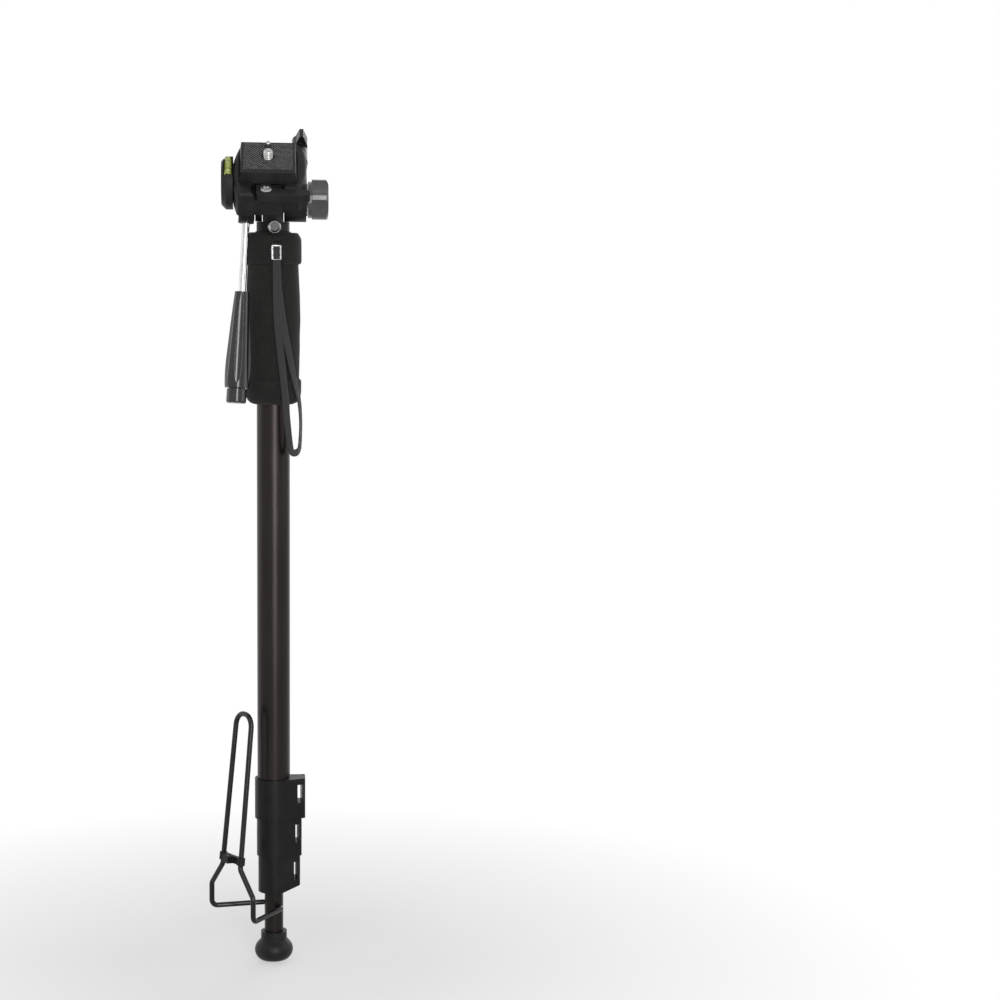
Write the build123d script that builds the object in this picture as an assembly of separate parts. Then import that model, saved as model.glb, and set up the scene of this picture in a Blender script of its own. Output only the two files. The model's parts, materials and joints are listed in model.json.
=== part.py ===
from build123d import *
from math import acos, atan2, cos, degrees, radians, sin, sqrt
import os

os.makedirs("parts", exist_ok=True)

# Sizes are in millimetres and angles in degrees.
# The origin is the tip of the spike on the axis of the tubes, Z up and X to the right.

# Shared clearances
sliding_gap = 0.05
close_gap = 0.03
soft_gap = 0.3
seat_gap = 0.2
washer_play = 0.1
overrun = 1.0
edge_break = 0.4

# Column of four tubes
tube_radii = [11.3, 9.7, 8.1, 6.5]
tube_wall = 1.0
tube_tops = [508.5, 497.0, 494.0, 491.0]
tube_end_z = 16.0
bush_height = 12.0
bush_lip = 1.0
bush_play = 0.08
collar_bottoms = [103.6, 77.0, 51.2]
collar_tops = [131.6, 103.4, 76.8]
collar_radii = [13.1, 11.8, 10.8]
collar_step = 10.0
collar_slope = 5.0

# Ear, lever and tension bolt of a collar
ear_faces = [16.5, 15.0, 14.0]
ear_reaches = [21.8, 19.3, 18.2]
ear_front = 5.5
ear_back = 8.2
ear_window = 12.7
ear_top = 4.2
ear_round = 1.6
lever_thick = 3.1
lever_hub_radius = 1.75
lever_pin_radius = 1.0
lever_pin_y = 6.0
lever_lip = 1.1
split_width = 1.2
split_angle = 62.0
split_lug_reach = 5.0
split_lug_width = 9.0
split_lug_height = 9.0
bolt_radius = 1.25
bolt_head_radius = 2.3
bolt_head_height = 1.6

# Foot
plug_top_z = 30.0
spike_radius = 4.0
spike_shoulder_z = 5.0
spike_tip_radius = 0.5
plug_bore_depth = 9.0
boot_bottom_z = 2.5
boot_wide_z = 12.4
boot_top_z = 22.3
boot_radius = 13.0
boot_sole_radius = 9.6
boot_neck_radius = 9.0
boot_mouth_radius = 4.3
boot_shelf_z = 10.0
boot_bore_gap = 0.1
boot_ribs = 12
boot_rib_radius = 1.3

# Foot loop of bent wire
wire_radius = 1.8
loop_yaw = 56.0
loop_pivot_z = 40.4
loop_pivot_gap = 0.08
loop_end = 3.0
loop_start_out = 10.0
loop_corner_out = 26.0
loop_corner_q = 34.5
loop_corner_z = 57.0
loop_neck_out = 11.0
loop_neck_q = 35.0
loop_neck_z = 74.0
loop_arc_radius = 9.25
loop_arc_slack = 0.6
loop_top_q = 24.0
loop_top_z = 179.2
loop_bend = 4.2
clip_start = 3.0
clip_height = 5.0
clip_wall = 1.0
clip_bar = 2.6
clip_hook = 3.4
clip_hook_depth = 6.0

# Foam grip, strap and label
foam_bore = 11.6
foam_bottom_z = 392.0
foam_ring_radius = 19.1
foam_ring_z = 409.0
foam_low_radius = 17.5
foam_mid_radius = 18.5
foam_mid_z = 450.0
foam_high_radius = 17.1
foam_cuff_z = 488.0
foam_cuff_radius = 19.3
foam_shoulder_z = 504.6
foam_top_radius = 16.9
foam_top_z = 508.4
foam_round = 6.2
strap_width = 5.0
strap_thick = 1.0
strap_x = 2.2
strap_slit_z = 502.1
strap_slit_depth = 3.6
strap_route = [
    (2.2, -20.2, 499.0),
    (2.2, -20.2, 474.0),
    (2.4, -20.1, 450.0),
    (5.0, -19.6, 426.0),
    (6.9, -18.9, 409.0),
    (8.4, -18.3, 393.0),
    (9.8, -17.5, 377.0),
    (11.2, -16.4, 365.0),
    (12.4, -15.6, 359.0),
    (17.4, -10.2, 359.6),
    (18.3, -8.4, 367.0),
    (18.8, -7.4, 381.0),
    (17.6, -10.0, 396.0),
    (14.2, -14.2, 409.0),
    (10.8, -17.0, 425.0),
    (7.4, -18.8, 442.0),
    (4.9, -19.6, 458.0),
    (3.3, -20.1, 471.0),
    (2.4, -20.2, 487.0),
    (2.3, -20.2, 499.0),
]
strap_easy_bend = 30.0
strap_fold_bend = 2.8
strap_fold_z = 362.0
ferrule_width = 7.0
ferrule_thick = 1.5
ferrule_bottom_z = 490.0
ferrule_top_z = 499.7
label_top_z = 377.0
label_bottom_z = 318.0
label_thick = 0.12
label_start_angle = 10.0
label_end_angle = 110.0

# Cap in the top tube and the turning base
cap_bottom_z = 503.0
cap_flange_z = 509.3
cap_flange_radius = 12.0
spigot_radius = 7.0
spigot_top_z = 515.2
spigot_gap = 0.06
neck_bottom_z = 509.4
neck_top_z = 515.7
neck_clear = 0.3
neck_radius = 11.2
pan_screw_radius = 2.5
pan_screw_head_radius = 4.0
pan_screw_head_z = 499.5
pan_screw_head_height = 3.0
pan_screw_cover = 4.0
pan_washer_radius = 5.2
pan_washer_height = 0.4
lock_knob_x = 1.0
lock_knob_z = 511.8
lock_shank_radius = 1.6
lock_knob_radius = 4.6
lock_knob_start = 18.3
lock_knob_end = 24.8
lock_knob_flutes = 9
lock_knob_flute_radius = 0.9

# Tilt axis and what sits on the axle, left to right
barrel_radius = 15.0
tilt_axis_z = neck_top_z + neck_clear + barrel_radius
head_pitch = 39.5
tongue_half = 7.0
tongue_radius = 12.0
tongue_half_width = 9.6
axle_radius = 3.0
pan_screw_top_z = tilt_axis_z - axle_radius - pan_screw_cover
axle_head_radius = 5.5
axle_head_left = 24.4
axle_head_right = 21.9
boss_left = 21.6
boss_right = 12.6
boss_radius = 14.5
boss_rim = 2.2
boss_dish = 1.0
cheek_left = 12.0
cheek_inner = 7.5
cheek_right = 22.4
tongue_clear_radius = 12.6
tongue_clear_z = 8.0
washer_radius = 9.0
serrated_radius = 11.0
serrated_right = 23.3
serrated_teeth = 20
serrated_tooth = 1.1
knob_left = 23.6
knob_right = 37.8
knob_radius = 13.9
knob_step_radius = 12.4
knob_step_width = 2.6
knob_dome = 1.8
knob_lobes = 5
knob_lobe_radius = 30.0
knob_lobe_depth = 2.0
knob_turn = -26.0
knob_insert_radius = 5.0
knob_insert_depth = 8.0
axle_end = 34.5

# Body between the tilt axis and the flip axis
deck_left = 20.5
deck_bottom = 15.4
deck_top = 20.0
deck_half = 13.5
deck_inner_right = 12.9
flip_x = 18.2
flip_z = 20.0
flip_barrel_radius = 4.4
flip_barrel_rear = 16.0
flip_barrel_front = 9.5
flip_barrel_gap = 0.3
tower_left = 13.2
tower_right = 21.5
tower_root = 1.9
flip_bolt_radius = 2.5
flip_bolt_head_radius = 4.0
flip_bolt_rear = 23.0
flip_bolt_front = 33.0
lug_radius = 4.8
lug_front_near = 10.0
lug_front_far = deck_half + seat_gap
lug_rear_near = 16.3
lug_rear_far = 20.0
lug_web_half = 4.0

# Tipping platform, measured from the plate's centre
plate_x = -3.2
platform_top = 27.0
platform_under = 23.5
platform_skirt = 9.0
platform_wall = 2.0
platform_round = 2.4
platform_corner = 7.0
platform_corner_rear = 3.0
front_left = (-18.0, 26.4)
front_middle = (2.5, 27.7)
front_right = (23.2, 26.2)
right_middle = (25.7, 3.0)
right_rear = (21.4, -24.2)
shelf_right = 9.0
shelf_rear = -29.5
heel_right = -9.4
heel_rear = -31.0
left_rear = -20.4
left_middle = (-23.9, -3.0)
hinge_cut_x = 12.0
hinge_cut_z = 24.7
hinge_cut_rear = 20.5
hinge_cut_front = 17.0
hub_gap = 0.3
pocket_gap = 0.3
lip_height = 2.0
lip_thick = 1.6
lip_half = 12.0
stop_left = 18.0
stop_thick = 2.0
stop_half = 10.0
floor_left = -12.9
floor_right = 11.0
floor_bottom = 17.0
floor_top = 20.8
floor_front = -14.2
window_right = 11.0
window_front = -18.6
screw_boss_radius = 4.2
screw_boss_bottom = 12.5

# Quick release plate and pad
plate_bottom = 26.0
plate_top = 35.0
plate_top_x = 36.0
plate_top_y = 33.8
plate_base_x = 38.4
plate_base_y = 36.0
plate_wall = 2.0
plate_round = 0.8
pad_x = 33.0
pad_y = 28.8
pad_shift_y = 0.3
pad_thick = 0.8
pad_seat = 0.6
pad_screw_hole = 4.45
pad_pin_hole = 2.2

# Camera screw and anti-twist pin
screw_head_radius = 7.5
screw_head_bottom = 27.3
screw_head_top = 29.3
screw_shank_radius = 3.0
screw_thread_radius = 3.175
screw_thread_bottom = 35.8
screw_thread_top = 39.6
screw_top = 40.2
screw_chamfer_radius = 2.7
screw_hole_gap = 0.08
clip_ring_radius = 5.0
clip_ring_bottom = 32.2
clip_ring_top = 32.8
pin_y = 11.8
pin_radius = 1.7
pin_top = 38.7
pin_slope = 0.4
pin_flange_radius = 2.6
pin_flange_bottom = 31.2
pin_flange_top = 32.2
pin_spring_radius = 1.9
pin_spring_wire = 0.2
pin_spring_bottom = 27.3
pin_spring_turns = 4
pin_housing_wall = 0.8

# Release lever
release_x = -4.6
release_y = -23.9
release_bottom = 21.0
release_top = 27.0
release_step = 25.8
release_left = 6.5
release_front = 5.2
release_rear = 7.8
release_cam = (8.0, 5.2)
release_cam_root = (10.4, -0.6)
release_arm_x = 29.3
release_arm_width = 7.4
release_corner = 2.4
release_sweep = 10.4
release_screw_radius = 2.0
release_head_radius = 3.9
release_head_height = 1.5
release_recess_radius = 4.3
release_recess_depth = 1.6
release_knurls = 17
release_knurl_radius = 0.25
lever_spring_radius = 3.1
lever_spring_wire = 0.25
lever_spring_turns = 2
lever_spring_recess = 4.2
lever_spring_height = 1.6

# Spirit level on the platform's left side
level_left = 34.4
level_right = 26.6
level_radius = 17.7
level_y = -4.0
level_z = 16.0
level_chamfer = 3.2
level_floor_z = 3.0
level_window_half = 10.0
level_window_left = 32.8
level_window_depth = 9.0
vial_radius = 2.5
vial_half = 9.4
vial_x = 30.0
vial_z = 29.0
vial_ring_half = 4.05
vial_ring_width = 0.5
vial_ring_height = 0.06

# Wing knob of the flip hinge
wing_hub_radius = 5.2
wing_hub_rear = lug_front_far + hub_gap
wing_rear = 30.0
wing_front = 40.5
wing_half = 10.75
wing_tip_half = 1.3
wing_root_half = 3.2
wing_shift = 1.2
wing_slope = 1.6
wing_ribs = 4
wing_rib_pitch = 1.5
wing_rib_radius = 0.45
wing_rib_start = 4.6

# Handle
handle_x = -17.1
handle_offset = 10.5
handle_lean_out = 3.2
handle_lean_back = 7.0
stub_start = 3.0
stub_end = 18.0
stub_radius = 5.3
rod_radius = 2.5
rod_start = 5.0
rod_end = 132.0
grip_start = 64.8
grip_end = 129.6
grip_radii = [4.9, 6.0, 7.6, 8.6, 8.2]
grip_shares = [0, 0.2, 0.55, 0.85, 1]
grip_flutes = 6
grip_flute_radius = 7.0
grip_flute_top = 9.9
grip_flute_bottom = 13.6
grip_groove = 0.8
grip_groove_radius = 5.6
cap_length = 9.5
cap_radius = 6.7
cap_round = 1.5

UPRIGHT = (Align.CENTER, Align.CENTER, Align.MIN)


def bar(radius, low, high):
    """A round bar along Z between two heights."""
    return Pos(0, 0, low) * Cylinder(radius, high - low, align=UPRIGHT)


def ring(outer, inner, low, high):
    """A round sleeve along Z, with its bore cut right through."""
    return bar(outer, low, high) - bar(inner, low - overrun, high + overrun)


def block(x_low, x_high, y_low, y_high, z_low, z_high):
    """A box between three pairs of planes."""
    size = Box(x_high - x_low, y_high - y_low, z_high - z_low)
    return Pos((x_low + x_high) / 2, (y_low + y_high) / 2, (z_low + z_high) / 2) * size


def turned(outline):
    """A solid turned round Z from a closed outline of radius and height."""
    return revolve(Plane.XZ * make_face(Polyline(*outline, close=True)), Axis.Z)


def along_x(shape):
    """Lays a piece built along Z down along X."""
    return Rot(0, 90, 0) * shape


def along_y(shape):
    """Lays a piece built along Z down along Y."""
    return Rot(-90, 0, 0) * shape


def cross_bar(radius, x_low, x_high):
    """A round bar on the tilt axis, in the head's own frame."""
    return along_x(bar(radius, x_low, x_high))


def flip_bar(radius, y_low, y_high):
    """A round bar on the flip axis, in the head's own frame."""
    return Pos(flip_x, 0, flip_z) * along_y(bar(radius, y_low, y_high))


def on_head(shape):
    """Takes a piece from the head's own frame to its place in the whole."""
    return Pos(0, 0, tilt_axis_z) * Rot(head_pitch, 0, 0) * shape


def on_axle(shape):
    """Puts a piece that is built round the tilt axis at the height of that axis."""
    return Pos(0, 0, tilt_axis_z) * shape


def on_handle(shape):
    """Places a piece of the handle, which is built downwards along its own axis."""
    lean = radians(handle_lean_back)
    start = Pos(handle_x, -handle_offset * cos(lean), tilt_axis_z + handle_offset * sin(lean))
    return start * Rot(-handle_lean_back, handle_lean_out, 0) * shape


def loop_point(out, q, z):
    """A point of the foot loop from its distances across, away from the column and up."""
    yaw = radians(loop_yaw)
    x = out * cos(yaw) - q * sin(yaw)
    y = -out * sin(yaw) - q * cos(yaw)
    return (x, y, z)


# Column

def column_tube(index):
    """One tube of the column, from its collar's step or the foot up to its top."""
    radius = tube_radii[index]
    low = tube_end_z if index == len(collar_bottoms) else collar_bottoms[index] + collar_step
    tube = ring(radius, radius - tube_wall, low, tube_tops[index])
    if index == len(collar_bottoms):
        hole = bar(wire_radius + loop_pivot_gap, -radius - overrun, radius + overrun)
        tube -= Pos(0, 0, loop_pivot_z) * Rot(0, 0, -loop_yaw) * along_x(hole)
    return tube


def sliding_bush(index):
    """The plastic guide on the top end of an inner tube."""
    radius = tube_radii[index]
    top = tube_tops[index]
    outer = tube_radii[index - 1] - tube_wall - bush_play
    body = bar(outer, top - bush_height, top + bush_lip)
    body -= bar(radius + close_gap, top - bush_height - overrun, top)
    body -= bar(radius - tube_wall, top - overrun, top + bush_lip + overrun)
    return body


def collar_window(index):
    """Bottom and top of the gap that the lever of a collar sits in."""
    high = collar_tops[index] - ear_top
    return high - ear_window, high


def lever_pin_x(index):
    return ear_reaches[index] - lever_thick / 2


def ear_outline(radius, reach):
    """The ear of a collar seen from above, its front side tangent to the collar."""
    away = sqrt(reach ** 2 + ear_front ** 2)
    turn = -atan2(ear_front, reach) - acos(radius / away)
    touch = (radius * cos(turn), radius * sin(turn))
    corners = [(0, 0), touch, (reach, -ear_front), (reach, ear_back), (0, ear_back)]
    return make_face(Polyline(*corners, close=True))


def lock_collar(index):
    """A clamping collar with its ear, its split and the lugs of the tension bolt."""
    low, high = collar_bottoms[index], collar_tops[index]
    radius = collar_radii[index]
    reach = ear_reaches[index]
    face = ear_faces[index]
    window_low, window_high = collar_window(index)

    collar = bar(radius, low, high)
    ear = Pos(0, 0, low) * extrude(ear_outline(radius, reach), amount=high - low)
    ear = fillet(ear.edges().filter_by(Axis.Z).group_by(Axis.X)[-1], ear_round)
    ear -= block(face, reach + overrun, -radius, ear_back + overrun, window_low, window_high)
    collar += ear

    lug = block(radius - overrun, radius + split_lug_reach, -split_lug_width / 2, split_lug_width / 2,
                (low + high - split_lug_height) / 2, (low + high + split_lug_height) / 2)
    lug = fillet(lug.edges().filter_by(Axis.Y).group_by(Axis.X)[-1], ear_round)
    collar += Rot(0, 0, split_angle) * lug

    bore = tube_radii[index] + close_gap
    next_bore = tube_radii[index + 1] + bush_play
    collar -= bar(bore, low + collar_step, high + overrun)
    collar -= bar(next_bore, low - overrun, low + collar_step + overrun)
    slit = block(next_bore - overrun, radius + split_lug_reach + overrun,
                 -split_width / 2, split_width / 2, low - overrun, high + overrun)
    collar -= Rot(0, 0, split_angle) * slit
    collar -= tension_bolt_shape(index, bolt_radius + sliding_gap, bolt_head_radius + sliding_gap, overrun)
    collar -= Pos(lever_pin_x(index), lever_pin_y, 0) * bar(lever_pin_radius + close_gap,
                                                            low - overrun, high + overrun)
    if index == len(collar_bottoms) - 1:
        wedge = Polyline((radius - collar_slope, low - overrun), (reach + overrun, low - overrun),
                         (reach + overrun, low + collar_slope), (radius - collar_slope, low), close=True)
        cut = extrude(Plane.XZ * make_face(wedge), amount=reach, both=True)
        collar -= cut
    return collar


def tension_bolt_shape(index, shaft, head, extra):
    """The bolt across the split of a collar, or the hole for it."""
    middle = (collar_bottoms[index] + collar_tops[index]) / 2
    place = Rot(0, 0, split_angle) * Pos(collar_radii[index] + split_lug_reach / 2, 0, middle)
    half = split_lug_width / 2
    shape = bar(shaft, -half - extra, half + extra)
    shape += bar(head, half - bolt_head_height, half + extra)
    return place * along_y(shape)


def lock_bolt(index):
    return tension_bolt_shape(index, bolt_radius, bolt_head_radius, 0)


def lever_pin(index):
    """The hinge pin of a collar's lever, from under its lower leaf to the upper one."""
    low = collar_bottoms[index] + (collar_slope if index == len(collar_bottoms) - 1 else overrun)
    return Pos(lever_pin_x(index), lever_pin_y, 0) * bar(lever_pin_radius, low, collar_tops[index] - overrun)


def lock_lever(index):
    """A flip lever that closes the outer side of the ear."""
    low, high = collar_window(index)
    low += seat_gap
    high -= seat_gap
    outer = ear_reaches[index]
    inner = outer - lever_thick
    plate = Polyline((inner, lever_pin_y), (inner + lever_lip, -ear_front), (outer, -ear_front),
                     (outer, lever_pin_y), close=True)
    lever = Pos(0, 0, low) * extrude(make_face(plate), amount=high - low)
    outside = lever.edges().filter_by(Axis.Z).group_by(Axis.Y)[0].sort_by(Axis.X)
    lever = fillet(outside[-1], lever_lip)
    lever += Pos(lever_pin_x(index), lever_pin_y, 0) * bar(lever_hub_radius, low, high)
    lever -= Pos(lever_pin_x(index), lever_pin_y, 0) * bar(lever_pin_radius + sliding_gap,
                                                           low - overrun, high + overrun)
    return lever


# Foot

def foot_plug():
    """The plug in the lowest tube, with the bore that holds the spike."""
    radius = tube_radii[-1] - tube_wall - close_gap
    plug = bar(radius, tube_end_z, plug_top_z)
    return plug - bar(spike_radius + close_gap, tube_end_z - overrun, tube_end_z + plug_bore_depth)


def spike():
    """The steel spike, a cone on a shank that sits in the plug."""
    top = tube_end_z + plug_bore_depth - seat_gap
    return turned([(0, 0), (spike_tip_radius, 0), (spike_radius, spike_shoulder_z),
                   (spike_radius, top), (0, top)])


def rubber_foot():
    """The rubber boot, which screws down over the spike."""
    side = ThreePointArc((boot_sole_radius, boot_bottom_z),
                         (boot_radius, boot_wide_z - boot_rib_radius),
                         (boot_radius - boot_rib_radius, boot_wide_z + boot_rib_radius))
    rest = Polyline((boot_radius - boot_rib_radius, boot_wide_z + boot_rib_radius),
                    (boot_neck_radius, boot_wide_z + boot_mouth_radius),
                    (boot_neck_radius, boot_top_z), (0, boot_top_z), (0, boot_bottom_z),
                    (boot_sole_radius, boot_bottom_z))
    boot = revolve(Plane.XZ * make_face(side + rest), Axis.Z)
    bore = tube_radii[-1] + boot_bore_gap
    boot -= bar(bore, boot_shelf_z, boot_top_z + overrun)
    boot -= bar(boot_mouth_radius, boot_bottom_z - overrun, boot_shelf_z + overrun)
    lean = degrees(atan2(boot_radius - boot_sole_radius, boot_wide_z - boot_bottom_z))
    for step in range(boot_ribs):
        groove = Pos(boot_radius + boot_rib_radius / 2, 0, boot_bottom_z) * Rot(0, lean / 2, 0) * bar(
            boot_rib_radius, -boot_wide_z, boot_wide_z)
        boot -= Rot(0, 0, 360 * step / boot_ribs) * groove
    return boot


def foot_loop():
    """The fold-out foot loop, one bent wire with its two ends in the lowest tube."""
    side = [
        (loop_end, 0, loop_pivot_z),
        (loop_start_out, 0, loop_pivot_z),
        (loop_corner_out, loop_corner_q, loop_pivot_z),
        (loop_corner_out, loop_corner_q, loop_corner_z),
        (loop_neck_out, loop_neck_q, loop_neck_z),
        (loop_arc_radius, loop_top_q, loop_top_z),
    ]
    right = [loop_point(out, q, z) for out, q, z in side]
    left = [loop_point(-out, q, z) for out, q, z in reversed(side)]
    bends = [loop_bend] * (len(side) - 2) + [loop_arc_radius - loop_arc_slack] * 2
    path = FilletPolyline(*(right + left), radius=bends + [loop_bend] * (len(side) - 2))
    start = Plane(origin=path @ 0, z_dir=path % 0)
    return sweep(start * Circle(wire_radius), path=path)


def stirrup_clip():
    """The plastic clip across the neck of the foot loop, with its hook for the column."""
    slope = degrees(atan2(loop_neck_q - loop_top_q, loop_top_z - loop_neck_z))
    taper = degrees(atan2(loop_neck_out - loop_arc_radius, loop_top_z - loop_neck_z))
    low, high = clip_start, clip_start + clip_height
    outer = wire_radius + clip_wall
    clip = block(-loop_neck_out, loop_neck_out, -clip_bar / 2, clip_bar / 2, low, high)
    clip += block(-clip_hook, clip_hook, -clip_hook_depth, clip_bar / 2, low, high)
    clip -= block(-clip_hook + clip_bar / 2, clip_hook - clip_bar / 2, -clip_hook_depth + clip_bar,
                  -clip_bar / 2, low - overrun, high + overrun)
    for side in (-1, 1):
        leg = Pos(side * loop_neck_out, 0, 0) * Rot(0, -side * taper, 0)
        clip += leg * bar(outer, low, high)
    for side in (-1, 1):
        leg = Pos(side * loop_neck_out, 0, 0) * Rot(0, -side * taper, 0)
        clip -= leg * bar(wire_radius + sliding_gap, low - overrun, high + overrun)
    base = loop_point(0, loop_neck_q, loop_neck_z)
    return Pos(*base) * Rot(0, 0, -loop_yaw) * Rot(-slope, 0, 0) * clip


# Grip, strap and label

def foam_grip():
    """The foam sleeve with its thicker ends, its rounded lower end and the strap's slit."""
    outer = [
        (foam_bore, foam_bottom_z),
        (foam_ring_radius, foam_bottom_z),
        (foam_ring_radius, foam_ring_z),
        (foam_low_radius, foam_ring_z + overrun),
    ]
    start = Polyline(*outer)
    belly = ThreePointArc((foam_low_radius, foam_ring_z + overrun), (foam_mid_radius, foam_mid_z),
                          (foam_high_radius, foam_cuff_z - overrun))
    finish = Polyline((foam_high_radius, foam_cuff_z - overrun), (foam_cuff_radius, foam_cuff_z),
                      (foam_cuff_radius, foam_shoulder_z), (foam_top_radius, foam_top_z),
                      (foam_bore, foam_top_z), (foam_bore, foam_bottom_z))
    section = make_face(start + belly + finish)
    corner = section.vertices().sort_by_distance((foam_ring_radius, foam_bottom_z))[0]
    section = fillet(corner, foam_round)
    foam = revolve(Plane.XZ * section, Axis.Z)
    half = strap_width / 2 + soft_gap
    depth = sqrt((foam_cuff_radius - strap_slit_depth) ** 2 - (strap_x + half) ** 2) - soft_gap
    gap = strap_thick / 2 + soft_gap
    return foam - block(strap_x - half, strap_x + half, -foam_cuff_radius - overrun, -depth,
                        strap_slit_z - gap, strap_slit_z + gap)


def wrist_strap():
    """Flat webbing, doubled into a loop that lies on the foam and hangs below it."""
    middle = foam_cuff_radius + soft_gap + strap_thick / 2
    low_z = min(point[2] for point in strap_route) - strap_width
    near, far = middle - strap_thick / 2, middle + strap_thick / 2
    slit_low, slit_high = strap_slit_z - strap_thick / 2, strap_slit_z + strap_thick / 2
    depth = foam_cuff_radius - strap_slit_depth
    sheet = turned([(near, low_z), (far, low_z), (far, slit_high), (depth, slit_high),
                    (depth, slit_low), (near, slit_low)])
    front = [(x, z) for x, y, z in strap_route]
    bends = [strap_fold_bend if z < strap_fold_z else strap_easy_bend for x, z in front[1:-1]]
    line = FilletPolyline(*front, radius=bends)
    reach = foam_cuff_radius * 2
    strap = sheet & block(strap_x - strap_width / 2, strap_x + strap_width / 2, -reach, 0,
                          strap_route[0][2] - overrun, strap_slit_z + strap_thick)
    for run in line.edges():
        band = trace(run, line_width=strap_width)
        strap += sheet & extrude(Plane.XZ * band, amount=reach)
    return strap


def strap_ferrule():
    """The crimped metal ferrule that holds the strap together."""
    near = foam_cuff_radius + soft_gap - sliding_gap
    half = ferrule_width / 2
    inner = strap_width / 2 + soft_gap
    sleeve = ring(near + ferrule_thick, foam_cuff_radius + sliding_gap, ferrule_bottom_z, ferrule_top_z)
    sleeve &= block(strap_x - half, strap_x + half, -foam_cuff_radius * 2, 0,
                    ferrule_bottom_z, ferrule_top_z)
    slot = ring(near + strap_thick + sliding_gap * 2, near, ferrule_bottom_z - overrun,
                ferrule_top_z + overrun)
    sleeve -= slot & block(strap_x - inner, strap_x + inner, -foam_cuff_radius * 2, 0,
                           ferrule_bottom_z - overrun, ferrule_top_z + overrun)
    return sleeve


def tube_label():
    """The bare label on the back of the top tube."""
    shell = ring(tube_radii[0] + sliding_gap + label_thick, tube_radii[0] + sliding_gap,
                 label_bottom_z, label_top_z)
    reach = collar_radii[0] * 2
    turn = (label_end_angle - label_start_angle) / 2
    wedge = Polyline((0, 0), (reach * cos(radians(turn)), -reach * sin(radians(turn))),
                     (reach, -reach * sin(radians(turn))), (reach, reach * sin(radians(turn))),
                     (reach * cos(radians(turn)), reach * sin(radians(turn))), close=True)
    sector = Pos(0, 0, label_bottom_z) * extrude(make_face(wedge), amount=label_top_z - label_bottom_z)
    return shell & (Rot(0, 0, label_start_angle + turn) * sector)


# Turning base

def mount_cap():
    """The cap in the top tube, with the spigot that the head turns on."""
    cap = bar(tube_radii[0] - tube_wall - close_gap, cap_bottom_z, tube_tops[0])
    cap += bar(cap_flange_radius, tube_tops[0], cap_flange_z)
    cap += bar(spigot_radius, cap_flange_z, spigot_top_z)
    hole = bar(pan_screw_radius + sliding_gap + close_gap, cap_bottom_z - overrun, spigot_top_z + overrun)
    return cap - hole


def pan_washer():
    low = cap_bottom_z - pan_washer_height - close_gap
    return ring(pan_washer_radius, pan_screw_radius + sliding_gap, low, cap_bottom_z - close_gap)


def pan_screw():
    """The screw that holds the turning base to the cap from inside the tube."""
    head_top = pan_screw_head_z + pan_screw_head_height
    screw = bar(pan_screw_head_radius, pan_screw_head_z, head_top)
    screw += bar(pan_screw_radius, head_top, pan_screw_top_z)
    socket = RegularPolygon(pan_screw_radius, 6)
    return screw - Pos(0, 0, pan_screw_head_z) * extrude(socket, amount=pan_screw_head_height / 2)


def pan_body():
    """The turning base: a neck round the spigot and the tongue up to the tilt axis."""
    body = bar(neck_radius, neck_bottom_z, neck_top_z)
    body += block(-tongue_half, tongue_half, -tongue_half_width, tongue_half_width,
                  neck_top_z - overrun, tilt_axis_z)
    body += on_axle(cross_bar(tongue_radius, -tongue_half, tongue_half))
    body -= bar(spigot_radius + spigot_gap, neck_bottom_z - overrun, spigot_top_z + washer_play)
    body -= bar(pan_screw_radius + close_gap, neck_bottom_z, pan_screw_top_z + seat_gap)
    body -= on_axle(cross_bar(axle_radius + sliding_gap, -tongue_half - overrun, tongue_half + overrun))
    shank = bar(lock_shank_radius + sliding_gap, -neck_radius - overrun, -spigot_radius)
    return body - Pos(lock_knob_x, 0, lock_knob_z) * along_y(shank)


def pan_lock_knob():
    """The small fluted knob that stops the turning base."""
    knob = bar(lock_knob_radius, -lock_knob_end, -lock_knob_start)
    knob = fillet(knob.edges().group_by(Axis.Z)[0], edge_break)
    for step in range(lock_knob_flutes):
        turn = Rot(0, 0, 360 * step / lock_knob_flutes)
        flute = Pos(lock_knob_radius + lock_knob_flute_radius / 2, 0, 0)
        cut = bar(lock_knob_flute_radius, -lock_knob_end - overrun, -lock_knob_start + overrun)
        knob -= turn * flute * cut
    knob += bar(lock_shank_radius, -lock_knob_start - overrun, -spigot_radius - washer_play)
    return Pos(lock_knob_x, 0, lock_knob_z) * along_y(knob)


# Tilt axle and its pieces, in the frame of the tilt axis

def tilt_axle():
    """The axle, with a hexagon head at its left end."""
    axle = cross_bar(axle_radius, -axle_head_right, axle_end)
    head = extrude(RegularPolygon(axle_head_radius, 6), amount=axle_head_left - axle_head_right)
    return axle + Pos(-axle_head_left, 0, 0) * along_x(head)


def handle_washer():
    low, high = -boss_right + close_gap, -cheek_left - close_gap
    return along_x(ring(washer_radius, axle_radius + sliding_gap, low, high))


def tongue_washer(side):
    low, high = tongue_half + close_gap, cheek_inner - close_gap
    if side < 0:
        low, high = -high, -low
    return along_x(ring(washer_radius, axle_radius + sliding_gap, low, high))


def serrated_washer():
    """The washer under the round knob, with teeth round its rim."""
    low, high = cheek_right + close_gap, serrated_right
    washer = bar(serrated_radius, low, high)
    for step in range(serrated_teeth):
        notch = Pos(serrated_radius, 0, (low + high) / 2) * Rot(0, 0, 45) * Box(
            serrated_tooth, serrated_tooth, high - low + overrun)
        washer -= Rot(0, 0, 360 * step / serrated_teeth) * notch
    return along_x(washer - bar(axle_radius + sliding_gap, low - overrun, high + overrun))


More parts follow.
